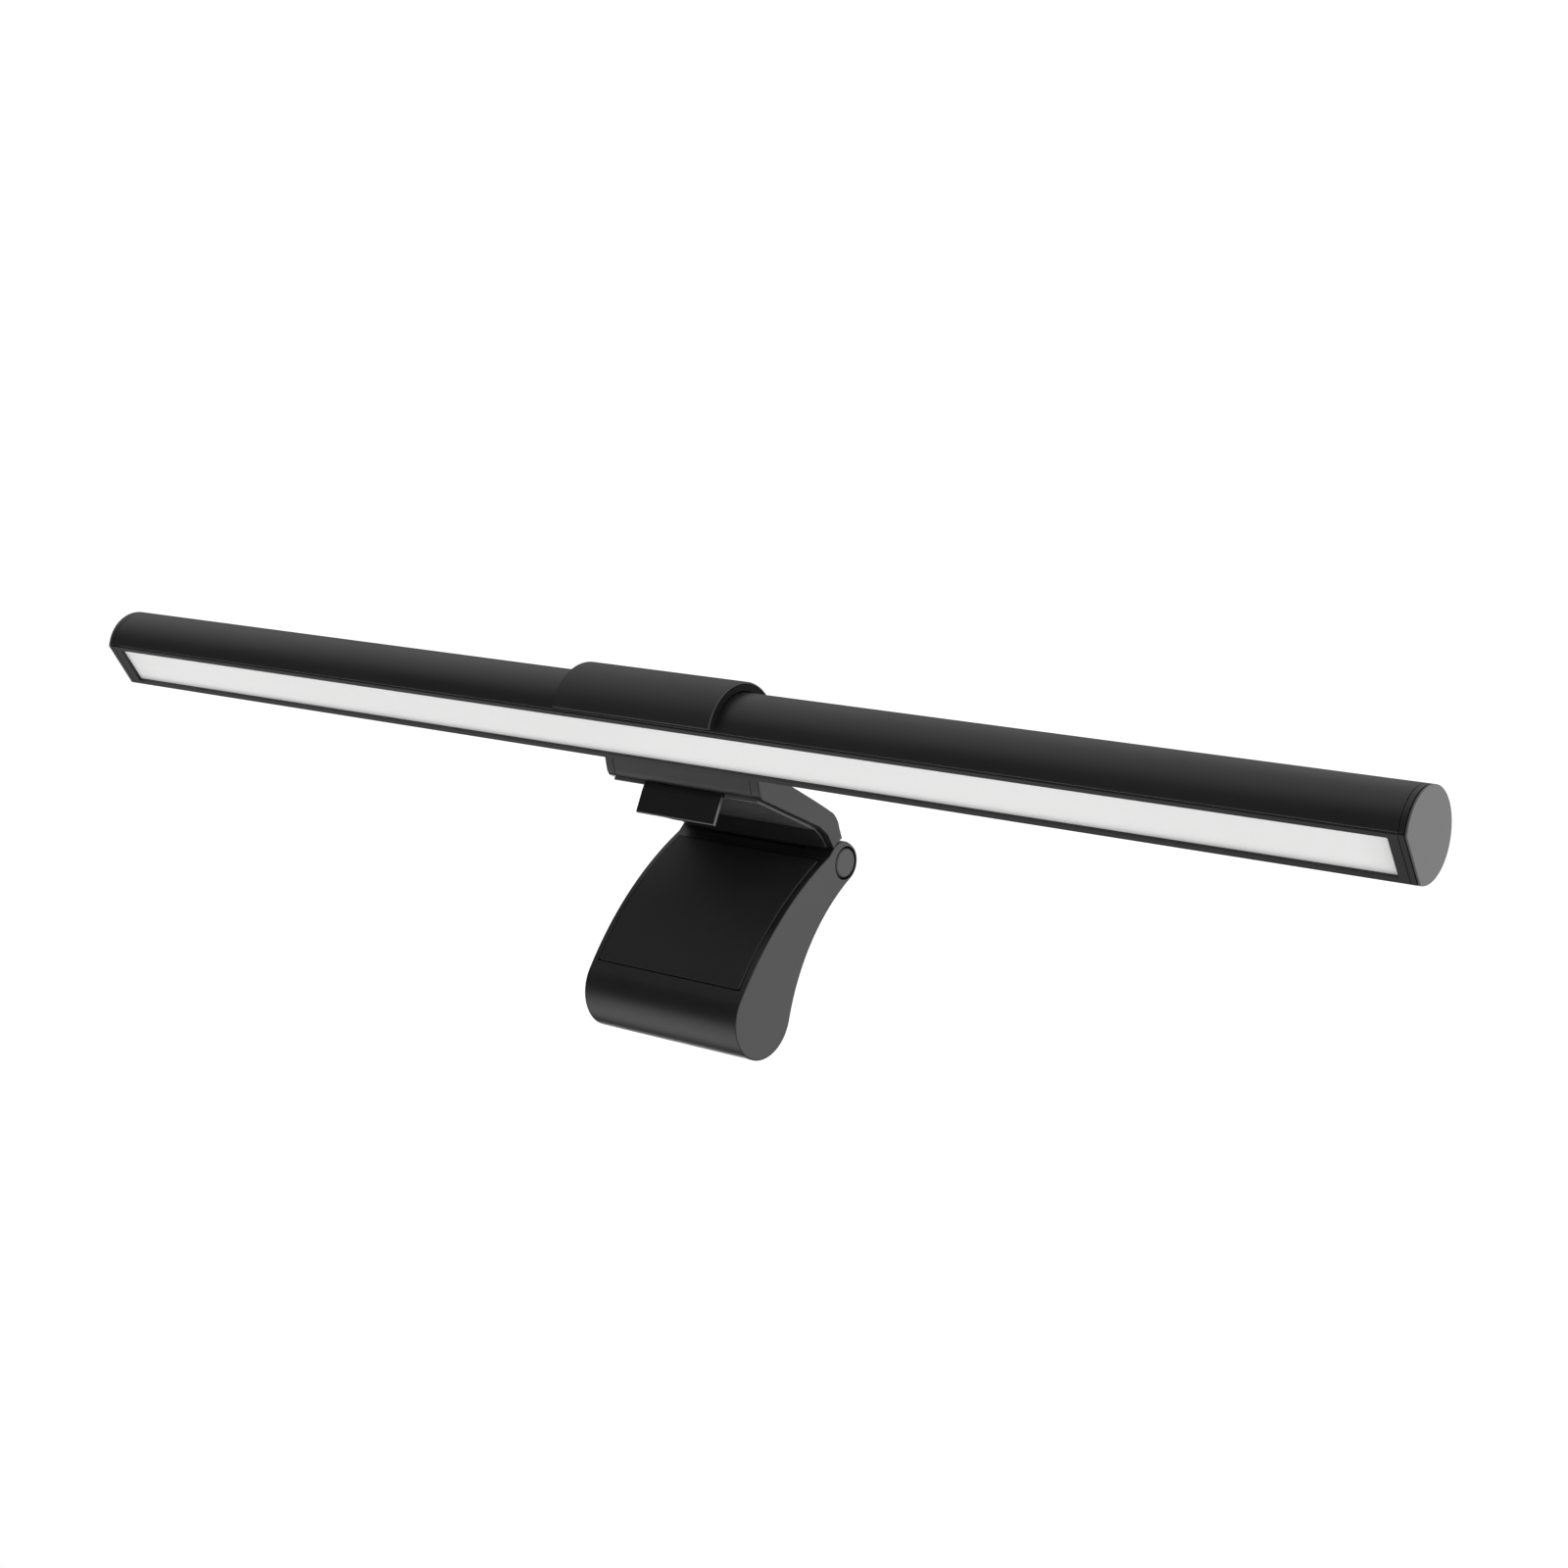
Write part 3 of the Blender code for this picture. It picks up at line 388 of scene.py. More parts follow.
# ------------------------------------------------------------ drawing tools
class Outline:
    """A side view drawn from point to point, then filled and pulled out along X."""

    def __init__(self, y, z):
        self.shape = bmesh.new()
        self.first = self.shape.verts.new((0.0, y, z))
        self.tip = self.first

    def line(self, y, z):
        self.tip = bmesh.ops.extrude_vert_indiv(self.shape, verts=[self.tip])["verts"][0]
        self.tip.co = (0.0, y, z)
        return self

    def path(self, *points):
        for y, z in points:
            self.line(y, z)
        return self

    def arc(self, centre, degrees, steps):
        """Carry the last point round a centre, from +Y towards +Z when the turn is positive."""
        made = bmesh.ops.spin(self.shape, geom=[self.tip], cent=(0.0, *centre),
                              axis=(1.0, 0.0, 0.0), angle=math.radians(degrees), steps=steps)
        self.tip = next(item for item in made["geom_last"] if isinstance(item, bmesh.types.BMVert))
        return self

    def pull(self, low_x, high_x):
        """Close and fill the outline and pull it out between two places along X."""
        shape = self.shape
        if (self.tip.co - self.first.co).length > 0.001:
            shape.edges.new((self.tip, self.first))
        bmesh.ops.remove_doubles(shape, verts=shape.verts, dist=0.001)
        bmesh.ops.translate(shape, verts=shape.verts, vec=(low_x, 0.0, 0.0))
        face = bmesh.ops.contextual_create(shape, geom=shape.edges)["faces"]
        made = bmesh.ops.extrude_face_region(shape, geom=face, use_keep_orig=True)
        moved = [item for item in made["geom"] if isinstance(item, bmesh.types.BMVert)]
        bmesh.ops.translate(shape, verts=moved, vec=(high_x - low_x, 0.0, 0.0))
        bmesh.ops.recalc_face_normals(shape, faces=shape.faces)
        return shape


def ring_part(centre, inner, outer, start, turn, step=2.5):
    """Outline of part of a ring, from a start angle."""
    steps = max(2, round(abs(turn) / step))
    outline = Outline(*polar(centre, outer, start)).arc(centre, turn, steps)
    outline.line(*polar(centre, inner, start + turn))
    return outline.arc(centre, -turn, max(2, steps * 2 // 3))


def flat_round(radius, corner, steps):
    """Outline of a round about the lamp's axis, left open below a corner angle."""
    return Outline(*polar(AXIS, radius, -corner)).arc(AXIS, 180.0 + 2 * corner, steps)


def corner_at(flat, radius):
    """Angle of the corner where a flat cuts a round."""
    return math.degrees(math.asin(flat / radius))


def block(x_span, y_span, z_span):
    """Box between low and high values on each axis."""
    shape = bmesh.new()
    spans = (x_span, y_span, z_span)
    middle = Vector([(low + high) / 2 for low, high in spans])
    size = Matrix.Diagonal([high - low for low, high in spans] + [1.0])
    bmesh.ops.create_cube(shape, size=1.0, matrix=Matrix.Translation(middle) @ size)
    return shape


def round_bar(start, direction, length, radius, sides=32, tip=None):
    """Cylinder, or a cone when a tip radius is given, from a point along a direction."""
    shape = bmesh.new()
    turn = Vector(direction).to_track_quat("Z", "Y").to_matrix().to_4x4()
    middle = Vector(start) + Vector(direction).normalized() * (length / 2)
    bmesh.ops.create_cone(shape, cap_ends=True, segments=sides, radius1=radius, depth=length,
                          radius2=radius if tip is None else tip,
                          matrix=Matrix.Translation(middle) @ turn)
    return shape


def round_off(shape, edges, radius, segments):
    bmesh.ops.bevel(shape, geom=edges, offset=radius, offset_type="OFFSET", segments=segments,
                    profile=0.5, affect="EDGES", clamp_overlap=True, material=-1)


def soften(shape, radius, segments=3, corner=ROUND_CORNER, where=None):
    """Round the edges that turn by more than a corner angle."""
    limit = math.radians(corner)
    edges = [edge for edge in shape.edges
             if len(edge.link_faces) == 2 and edge.calc_face_angle(0.0) > limit
             and (where is None or where(edge))]
    round_off(shape, edges, radius, segments)
    return shape


def middle_of(edge):
    return (edge.verts[0].co + edge.verts[1].co) / 2


def rise_of(edge, axis):
    """How far an edge runs along an axis."""
    return abs(edge.verts[0].co[axis] - edge.verts[1].co[axis])


def at_side(end):
    """Picks the edges at the two ends of a shape along X."""
    return lambda edge: abs(middle_of(edge).x) > end - 0.01


def to_piece(name, shape):
    """Make an object of a shape drawn in millimetres."""
    mesh = bpy.data.meshes.new(name)
    bmesh.ops.scale(shape, vec=(MM, MM, MM), verts=shape.verts)
    shape.to_mesh(mesh)
    shape.free()
    piece = bpy.data.objects.new(name, mesh)
    bpy.context.scene.collection.objects.link(piece)
    return piece


def carve(piece, *tools, join=False):
    """Cut tools out of a piece, or join them to it, and keep the result as its mesh."""
    for tool in tools:
        cutter = to_piece("cutter", tool)
        step = piece.modifiers.new("carve", "BOOLEAN")
        step.operation = "UNION" if join else "DIFFERENCE"
        step.solver = "EXACT"
        step.object = cutter
        bpy.context.view_layer.update()
        scene_state = bpy.context.evaluated_depsgraph_get()
        made = bpy.data.meshes.new_from_object(piece.evaluated_get(scene_state))
        made.name = piece.name
        old = piece.data
        piece.modifiers.clear()
        piece.data = made
        bpy.data.meshes.remove(old)
        old = cutter.data
        bpy.data.objects.remove(cutter)
        bpy.data.meshes.remove(old)
    return piece


def weld(mesh, gap=0.0005 * MM):
    """Merge the slivers that a cut leaves."""
    shape = bmesh.new()
    shape.from_mesh(mesh)
    bmesh.ops.remove_doubles(shape, verts=shape.verts, dist=gap)
    bmesh.ops.dissolve_degenerate(shape, dist=gap, edges=shape.edges)
    shape.to_mesh(mesh)
    shape.free()


LAMP_TURN = Matrix.Rotation(math.radians(BAR_TURN), 4, "X")
LAMP_PLACE = Matrix.Translation((0.0, BAR[0] * MM, BAR[1] * MM)) @ LAMP_TURN
ARM_PLACE = Matrix.Translation((0.0, PIN[0] * MM, PIN[1] * MM))


def settle(piece, finish, body, replaced=(), place=None, crease=30.0):
    """Put a piece in its place, smooth it up to its creases, finish it and hang it on its body."""
    mesh = piece.data
    weld(mesh)
    if place is not None:
        mesh.transform(place)
    mesh.materials.clear()
    for item in finish if isinstance(finish, (list, tuple)) else [finish]:
        mesh.materials.append(item)
    mesh.shade_smooth()
    mesh.set_sharp_from_angle(angle=math.radians(crease))
    even = piece.modifiers.new("even_shading", "WEIGHTED_NORMAL")
    even.keep_sharp = True
    even.weight = 80
    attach(piece, body)
    if replaced:
        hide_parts(*replaced)
    return piece


# ------------------------------------------------------------ the lamp
class LIGHTBAR_OT_tube(bpy.types.Operator):
    """Extruded tube, open along the light face"""
    bl_idname = "lightbar.tube"
    bl_label = "Tube"

    def execute(self, context):
        shape = ring_part(AXIS, TUBE_INNER, TUBE_RADIUS, -TUBE_EDGE, 180.0 + 2 * TUBE_EDGE)
        shape = soften(shape.pull(-TUBE_END, TUBE_END), sizes().rim_edge / MM, segments=2)
        tube = to_piece("lamp_tube", shape)
        for y, z in [polar(AXIS, PORT_REACH, angle) for angle in PORT_ANGLES]:
            boss = round_bar((0.05 - TUBE_END, y, z), (1, 0, 0), 2 * TUBE_END - 0.1, 1.7, sides=20)
            carve(tube, boss, join=True)
            bore = round_bar((-TUBE_END - 1, y, z), (1, 0, 0), 2 * TUBE_END + 2, 0.9, sides=16)
            carve(tube, bore)
        y, z = polar(AXIS, 1.0, STOP_ANGLE - BAR_TURN)
        carve(tube, round_bar((0.0, y * 9, z * 9), (0.0, y, z), 5.0, 1.7, sides=24),
              block((INLET_X - 6.6, INLET_X + 6.6), (6.0, 13.0), (0.9, 6.6)))
        settle(tube, anodised_black(), "light_head", ["tube_housing"], LAMP_PLACE)
        return {"FINISHED"}


class LIGHTBAR_OT_light_face(bpy.types.Operator):
    """Bezel frame with its stepped ends, and the frosted diffuser"""
    bl_idname = "lightbar.light_face"
    bl_label = "Light face"

    def execute(self, context):
        outline = Outline(-7.21, -7.49).path((-7.91, -8.20), (-7.56, FACE_Z), (7.56, FACE_Z),
                                             (7.91, -8.20), (7.21, -7.49))
        bezel = to_piece("bezel", soften(outline.pull(-RING_END, RING_END), 0.08, segments=2))
        window = block((-WINDOW_END, WINDOW_END), (-WINDOW_HALF, WINDOW_HALF), (-10.0, -6.0))
        carve(bezel, soften(window, 0.35, where=lambda edge: rise_of(edge, 2) > 1.0))
        for side in (-1, 1):
            width = sorted(side * x for x in END_GROOVE)
            carve(bezel, block(width, (-8.5, 8.5), (-9.0, FACE_Z + 0.18)))
        black = surface("bezel_black", colours().shell, 0.44, 0.03, grain=2800.0, depth=0.01,
                        bump=0.3, specular=0.36)
        settle(bezel, black, "light_head", ["bezel_frame"], LAMP_PLACE)
        lens = block((-LENS_END, LENS_END), (-LENS_HALF, LENS_HALF), (-7.34, -5.95))
        settle(to_piece("light_diffuser", soften(lens, 0.12, segments=2)), frosted_white(),
               "light_head", ["diffuser"], LAMP_PLACE)
        return {"FINISHED"}


class LIGHTBAR_OT_lamp_ends(bpy.types.Operator):
    """End rings with their plugs, and the thin grey plates over them"""
    bl_idname = "lightbar.lamp_ends"
    bl_label = "Lamp ends"

    def execute(self, context):
        black, grey = anodised_black(), cap_grey()
        for side, name in ((-1, "left"), (1, "right")):
            out = (side, 0, 0)
            outline = flat_round(TUBE_RADIUS, TUBE_EDGE, 108).path((-7.25, -7.3), (7.25, -7.3))
            ring_shape = outline.pull(*sorted((side * (TUBE_END + RING_STEP), side * RING_END)))
            ring = to_piece(f"end_collar_{name}", soften(ring_shape, 0.10, segments=2))
            plug = flat_round(10.1, corner_at(5.3, 10.1), 60)
            carve(ring, plug.pull(*sorted((side * 215.5, side * (TUBE_END + 0.7)))), join=True)
            hollow = flat_round(8.5, corner_at(4.2, 8.5), 48)
            carve(ring, hollow.pull(*sorted((side * 210.0, side * (TUBE_END - 0.55)))))
            for y, z in [polar(AXIS, PORT_REACH, angle) for angle in PORT_ANGLES]:
                start = (side * 210.0, y, z)
                carve(ring, round_bar(start, out, RING_START - 210.1, 2.0, sides=20),
                      round_bar(start, out, 20.0, 1.1, sides=16),
                      round_bar((side * (RING_END - 0.75), y, z), out, 5.0, 1.9, sides=20))
            settle(ring, black, "light_head", [f"end_ring_{name}"], LAMP_PLACE)
            outline = flat_round(TUBE_RADIUS, corner_at(-FACE_Z, TUBE_RADIUS), 120)
            plate = soften(outline.pull(*sorted((side * PLATE_START, side * PLATE_END))),
                           sizes().rim_edge / MM)
            settle(to_piece(f"end_face_{name}", plate), grey, "light_head", [f"end_plate_{name}"],
                   LAMP_PLACE)
        return {"FINISHED"}


class LIGHTBAR_OT_inlet(bpy.types.Operator):
    """Power inlet on the back of the bar: surround, drawn shell, tongue and contacts"""
    bl_idname = "lightbar.inlet"
    bl_label = "Power inlet"

    def execute(self, context):
        def rounded(width, depth, height, radius):
            shape = block((INLET_X - width, INLET_X + width), depth, height)
            return soften(shape, radius, segments=8, where=lambda edge: rise_of(edge, 1) > 1.0)

        low, high = 2.15, 5.35
        middle = (low + high) / 2
        outline = Outline(8.4, 1.2).line(*polar(AXIS, TUBE_RADIUS, 6.04)).arc(AXIS, 27.51, 12)
        outline.line(8.4, 6.3)
        surround = to_piece("inlet_collar", outline.pull(INLET_X - 6.3, INLET_X + 6.3))
        carve(surround, rounded(4.8, (6.0, 13.0), (low - 0.3, high + 0.3), 1.5))
        settle(surround, shell_black(), "light_head", ["inlet_surround"], LAMP_PLACE)
        shell = to_piece("inlet_shell", rounded(4.47, (2.2, 9.5), (low, high), 1.58))
        carve(shell, rounded(4.17, (3.0, 11.0), (low + 0.3, high - 0.3), 1.29))
        settle(shell, bright_steel(), "light_head", ["usb_c_inlet"], LAMP_PLACE)
        tongue = block((INLET_X - 3.3, INLET_X + 3.3), (3.0, 8.6), (middle - 0.33, middle + 0.33))
        tongue_black = lead_skin("tongue_black", (0.012, 0.012, 0.012))
        settle(to_piece("inlet_tongue", soften(tongue, 0.12)), tongue_black, "light_head",
               place=LAMP_PLACE)
        contacts = bmesh.new()
        for number in range(24):
            x = INLET_X - 2.75 + 0.5 * (number % 12)
            z = middle + (0.34 if number < 12 else -0.34)
            place = Matrix.Translation((x, 6.6, z)) @ Matrix.Diagonal((0.24, 3.4, 0.06, 1.0))
            bmesh.ops.create_cube(contacts, size=1.0, matrix=place)
        gold = surface("contact_gold", (0.85, 0.58, 0.20), 0.24, 0.05, metallic=1.0, depth=0.004,
                       bump=0.2)
        settle(to_piece("inlet_contacts", contacts), gold, "light_head", place=LAMP_PLACE)
        return {"FINISHED"}


# ------------------------------------------------------------ the clip's fixed bracket
class LIGHTBAR_OT_saddle(bpy.types.Operator):
    """Open sleeve round the tube, with its soft lining"""
    bl_idname = "lightbar.saddle"
    bl_label = "Saddle"

    def execute(self, context):
        turn = SADDLE_FRONT - SADDLE_BACK
        shell = ring_part(BAR, SADDLE_INNER, SADDLE_OUTER, SADDLE_BACK, turn, step=2.0)
        shell = soften(shell.pull(-SADDLE_END, SADDLE_END), sizes().saddle_edge / MM, segments=4)
        saddle = to_piece("saddle_sleeve", shell)
        liner = ring_part(BAR, LINER_INNER, LINER_OUTER, SADDLE_BACK + 2, turn - 4)
        liner = soften(liner.pull(0.4 - SADDLE_END, SADDLE_END - 0.4), 0.12, segments=2)
        lining = to_piece("saddle_lining", liner)
        for side in (-1, 1):
            lip = ring_part(BAR, LINER_INNER + 0.05, LIP_RADIUS - 0.03, SADDLE_BACK + 2, turn - 4,
                            step=2.0)
            ends = sorted((side * (SADDLE_END - 0.62), side * (SADDLE_END - 0.12)))
            carve(lining, lip.pull(*ends), join=True)
            room = ring_part(BAR, LINER_INNER, LIP_RADIUS, SADDLE_BACK + 1.4, turn - 2.8, step=2.0)
            ends = sorted((side * (SADDLE_END - 0.64), side * (SADDLE_END + 1.0)))
            carve(saddle, room.pull(*ends))
        slot_reach = math.degrees(math.atan2(1.5, 13.2)) + 1.0
        for piece in (saddle, lining):
            slot = ring_part(BAR, 11.0, 13.5, 55.0 - slot_reach, 35.0 + 2 * slot_reach, step=4.0)
            carve(piece, slot.pull(-1.9, 1.9))
        along = Vector((0.0, *polar(AXIS, 1.0, SADDLE_SCREW_ANGLE)))
        for side in (-1, 1):
            head = Vector((side * SADDLE_SCREW_X, *BAR)) + along * 12.7
            carve(saddle, round_bar(head - along * 1.5, along, 1.9, SCREW_HEAD, sides=24),
                  round_bar(head + along * 0.36, along, 0.99, SCREW_HEAD - 0.01, sides=24,
                            tip=SCREW_HOLE),
                  round_bar(head, along, 4.4, SCREW_HOLE, sides=20))
        settle(saddle, saddle_black(), "bracket", ["saddle_shell"])
        settle(lining, liner_rubber(), "bracket", ["saddle_liner"])
        return {"FINISHED"}


def neck_outline():
    """Side view of the neck: seat under the bar, flat belly, hollow round the hinge, sloped top."""
    seat = SADDLE_OUTER + 0.3
    outline = Outline(*polar(BAR, seat, 6.0)).arc(BAR, -43.0, 20)
    outline.path((-11.9, 2.45), (-11.2, 1.65), (-10.2, 1.1), (18.0, 1.1), (22.4, 0.0))
    outline.line(*polar(PIN, 7.6, 161.0)).arc(PIN, -33.0, 10)
    outline.path((26.6, 3.3), (25.8, 4.25), (24.8, 5.0), (23.7, 5.65), (22.3, 6.2), (17.0, 6.75),
                 (11.5, 7.2), (1.1, 7.9))
    outline.line(*polar((-3.6, 15.4), 7.4, 270.0))
    return outline.arc((-3.6, 15.4), -95.0, 18)


class LIGHTBAR_OT_neck(bpy.types.Operator):
    """Moulded neck between the saddle and the hinge, with a thin cheek at each side"""
    bl_idname = "lightbar.neck"
    bl_label = "Neck"

    def execute(self, context):
        # The neck and its cheeks take the shell finish lightened 1.6 times: painted light, for the
        # light their faces catch.
        finish = shell_black("neck_black_painted_light", 1.6, 0.38)
        seam = 0.22
        inner_end = NECK_END - sizes().cheek / MM
        shape = neck_outline().pull(-inner_end + seam, inner_end - seam)
        neck = to_piece("neck_body", soften(shape, 0.04, segments=1))
        hollow = Outline(-9.0, -2.0).path((-9.0, 6.2), (1.0, 6.2), (11.5, 5.5), (20.0, 4.7),
                                          (20.0, -2.0))
        web_room = Outline(19.0, -6.0).path((19.0, 4.8), (22.5, 4.5), (25.3, 3.1), (34.0, 2.4),
                                            (34.0, -6.0))
        carve(neck, hollow.pull(-24.6, 24.6), web_room.pull(-17.6, 17.6),
              block((-HOOK_END - 0.3, HOOK_END + 0.3), (-9.5, -6.0), (-1.0, 2.2)))
        y, z = polar(AXIS, 1.0, SADDLE_SCREW_ANGLE)
        for side in (-1, 1):
            for x, place, low, high in ((9.0, -3.0, 0.95, 6.6), (12.0, 12.5, 2.2, 6.0)):
                boss = round_bar((side * x, place, 4.5), (0, 0, 1), 2.5, 2.3, sides=20)
                carve(neck, boss, join=True)
                carve(neck, round_bar((side * x, place, low), (0, 0, 1), high - low + 0.4,
                                      SCREW_HOLE, sides=20))
        for side in (-1, 1):
            start = (side * SADDLE_SCREW_X, BAR[0] + y * 12, BAR[1] + z * 12)
            carve(neck, round_bar(start, (0.0, y, z), 5.5, SCREW_HOLE, sides=20))
        settle(neck, finish, "bracket", ["neck_housing"])

        def outside(edge):
            return abs(middle_of(edge).x) > NECK_END - 0.1

        for side, name in ((-1, "left"), (1, "right")):
            cheek = neck_outline().pull(*sorted((side * inner_end, side * NECK_END)))
            soften(cheek, sizes().neck_edge / MM, segments=4,
                   where=lambda edge: outside(edge) and middle_of(edge).z > 6.0)
            soften(cheek, 1.2, segments=5, where=lambda edge: outside(edge)
                   and middle_of(edge).y < -9.9 and middle_of(edge).z < 5.6)
            settle(to_piece(f"neck_cheek_{name}", cheek), finish, "bracket")
        return {"FINISHED"}


class LIGHTBAR_OT_hook_and_rest(bpy.types.Operator):
    """Polished lip in front of the screen and the satin plate that rests on it"""
    bl_idname = "lightbar.hook_and_rest"
    bl_label = "Hook and rest"

    def execute(self, context):
        front, back, top, bottom, bow, corner = -10.4, -8.1, 1.95, -8.2, -2.2, 0.6
        outline = Outline(front, bow).arc((front + HOOK_BOW, bow), -12.2, 10)
        outline.path((-9.4, 1.05), (-9.4, top), (8.0, top), (8.0, 0.95), (back - 0.2, 0.95),
                     (back - 0.2, -0.2), (back, -0.2), (back, bottom + corner))
        outline.arc((back - corner, bottom + corner), -90.0, 6)
        outline.line(front + corner, bottom).arc((front + corner, bottom + corner), -90.0, 6)
        ends = at_side(HOOK_END)
        shape = soften(outline.pull(-HOOK_END, HOOK_END), 0.22,
                       where=lambda edge: ends(edge) and middle_of(edge).y < back - 0.3)
        hook = to_piece("hook_lip", shape)
        reach_out = 3.0 / math.sqrt(2.0) - HOOK_CHAMFER / 2
        for side in (-1, 1):
            chamfer = block((-3.0, 3.0), (-3.0, 3.0), (bottom - 1.0, -0.4))
            bmesh.ops.rotate(chamfer, verts=chamfer.verts, cent=(0, 0, 0),
                             matrix=Matrix.Rotation(math.radians(45.0), 3, "Z"))
            bmesh.ops.translate(chamfer, verts=chamfer.verts,
                                vec=(side * (HOOK_END + reach_out), back + reach_out, 0.0))
            carve(hook, chamfer)
        for side in (-1, 1):
            place = (side * 9.0, -3.0)
            carve(hook, round_bar((*place, 0.0), (0, 0, 1), 3.0, SCREW_HOLE, sides=20),
                  round_bar((*place, 0.0), (0, 0, 1), 1.35, SCREW_HEAD, sides=24),
                  round_bar((*place, 1.31), (0, 0, 1), 0.94, SCREW_HEAD - 0.01, sides=24,
                            tip=SCREW_HOLE))
        settle(hook, gloss_black(), "bracket", ["screen_hook"])
        outline = Outline(-9.5, 0.15).path(
            (-9.35, 0.0), (18.4, 0.0), (20.4, -0.5), (22.4, -1.25), (24.3, -2.2), (26.1, -3.4),
            (25.9, -2.5), (24.1, -1.35), (22.25, -0.35), (20.3, 0.3), (18.2, 1.04), (-9.5, 1.04))
        rest_end = min(REST_END, NECK_END - REST_RIM)
        shape = soften(outline.pull(-rest_end, rest_end), 0.15, segments=2, where=at_side(rest_end))
        round_off(shape, [edge for edge in shape.edges if middle_of(edge).y < -9.3
                          and abs(abs(middle_of(edge).x) - rest_end) < 0.4
                          and edge.calc_length() > 0.3 and rise_of(edge, 2) > 0.3], 2.2, 6)
        rest = to_piece("rest_face", shape)
        carve(rest, block((-HOOK_END - 0.3, HOOK_END + 0.3), (-12.0, -7.8), (-2.0, 2.0)))
        # Two copies of one satin: the lighter one on the flat is painted light from below, the
        # darker one on the slope and side faces is painted shade.
        finishes = [rest_black("painted_light_rest", 0.085), rest_black("painted_shade_rest", 0.018)]
        settle(rest, finishes, "bracket", ["rest_plate"])
        # Slope and side faces take the darker copy: painted shade.
        for face in rest.data.polygons:
            shaded_slope = face.normal.y < -0.15 and face.center.y > 0.0
            face.material_index = int(shaded_slope or abs(face.normal.x) > 0.4)
        return {"FINISHED"}


# ------------------------------------------------------------ the weighted arm, drawn from the pin
def back_curve():
    """Centre and end angles of the hollow back, which touches the round foot and the knuckle."""
    to_roll = BACK_RADIUS + ROLL_RADIUS
    to_knuckle = BACK_RADIUS + KNUCKLE_RADIUS
    span = math.hypot(*ROLL)
    along = (to_knuckle ** 2 - to_roll ** 2 + span ** 2) / (2 * span)
    across = math.sqrt(to_knuckle ** 2 - along ** 2)
    unit = (ROLL[0] / span, ROLL[1] / span)
    centre = (unit[0] * along - unit[1] * across, unit[1] * along + unit[0] * across)
    top = math.degrees(math.atan2(-centre[1], -centre[0]))
    foot = math.degrees(math.atan2(ROLL[1] - centre[1], ROLL[0] - centre[0])) % 360.0
    return centre, top, foot


BACK_CENTRE, BACK_TOP, BACK_FOOT = back_curve()


def nose_radius(angle):
    """The knuckle swells towards the nose that meets the neck."""
    share = min(1.0, max(0.0, (angle - 75.0) / 90.0))
    return KNUCKLE_RADIUS + 1.75 * share * share * (3.0 - 2.0 * share)


def arm_outline():
    nose = [polar(AXIS, nose_radius(angle), angle) for angle in range(165, 69, -6)]
    outline = Outline(*nose[0]).path(*nose[1:])
    outline.line(*polar(AXIS, KNUCKLE_RADIUS, 66.0)).arc(AXIS, BACK_TOP - 180.0 - 66.0, 24)
    outline.arc(BACK_CENTRE, BACK_FOOT - BACK_TOP, 28)
    outline.arc(ROLL, FRONT_TANGENT - 180.0 - BACK_FOOT, 60)
    return outline.arc(FRONT_CENTRE, FRONT_TOP - FRONT_TANGENT, 26)


def weight_room():
    """Room for the weight inside the arm."""
    foot_join = BACK_FOOT - 180.0
    outline = Outline(*polar(FRONT_CENTRE, 93.0, 146.5)).arc(FRONT_CENTRE, 21.3, 12)
    outline.line(*polar(ROLL, 10.0, 153.0)).arc(ROLL, 207.0 + foot_join, 28)
    return outline.arc(BACK_CENTRE, -32.0, 12)


class LIGHTBAR_OT_arm(bpy.types.Operator):
    """Moulded arm with its knuckles, cap seats and the room for the weight"""
    bl_idname = "lightbar.arm"
    bl_label = "Arm"

    def execute(self, context):
        shape = arm_outline().pull(-ARM_END, ARM_END)
        soften(shape, sizes().arm_edge / MM, segments=4, where=at_side(ARM_END))
        arm = to_piece("arm_body", shape)
        carve(arm, round_bar((-BARREL_END, 0, 0), (1, 0, 0), 2 * BARREL_END, 6.0, sides=56),
              block((-BARREL_END, BARREL_END), (-9.0, 8.0), (1.0, 9.0)),
              round_bar((-30.0, 0, 0), (1, 0, 0), 60.0, PIN_BORE, sides=28))
        for side in (-1, 1):
            seat = round_bar((side * 24.6, 0, 0), (side, 0, 0), 6.0, PIN_CAP_RADIUS + 0.4, sides=56)
            carve(arm, seat)
        turn = PAD_LOW - PAD_HIGH + 0.4
        seat = ring_part(FRONT_CENTRE, 92.0, 97.0, PAD_HIGH - 0.2, turn, step=1.2)
        carve(arm, seat.pull(-PAD_END - 0.3, PAD_END + 0.3), weight_room().pull(-24.3, 24.3))
        for side in (-1, 1):
            y, z = polar(FRONT_CENTRE, 93.65, 144.0)
            inward = Vector((0.0, FRONT_CENTRE[0] - y, FRONT_CENTRE[1] - z)).normalized()
            carve(arm, round_bar((side * 19.5, y, z), inward, 5.4, SCREW_HOLE, sides=20))
        settle(arm, shell_black(), "arm", ["arm_shell"], ARM_PLACE)
        return {"FINISHED"}


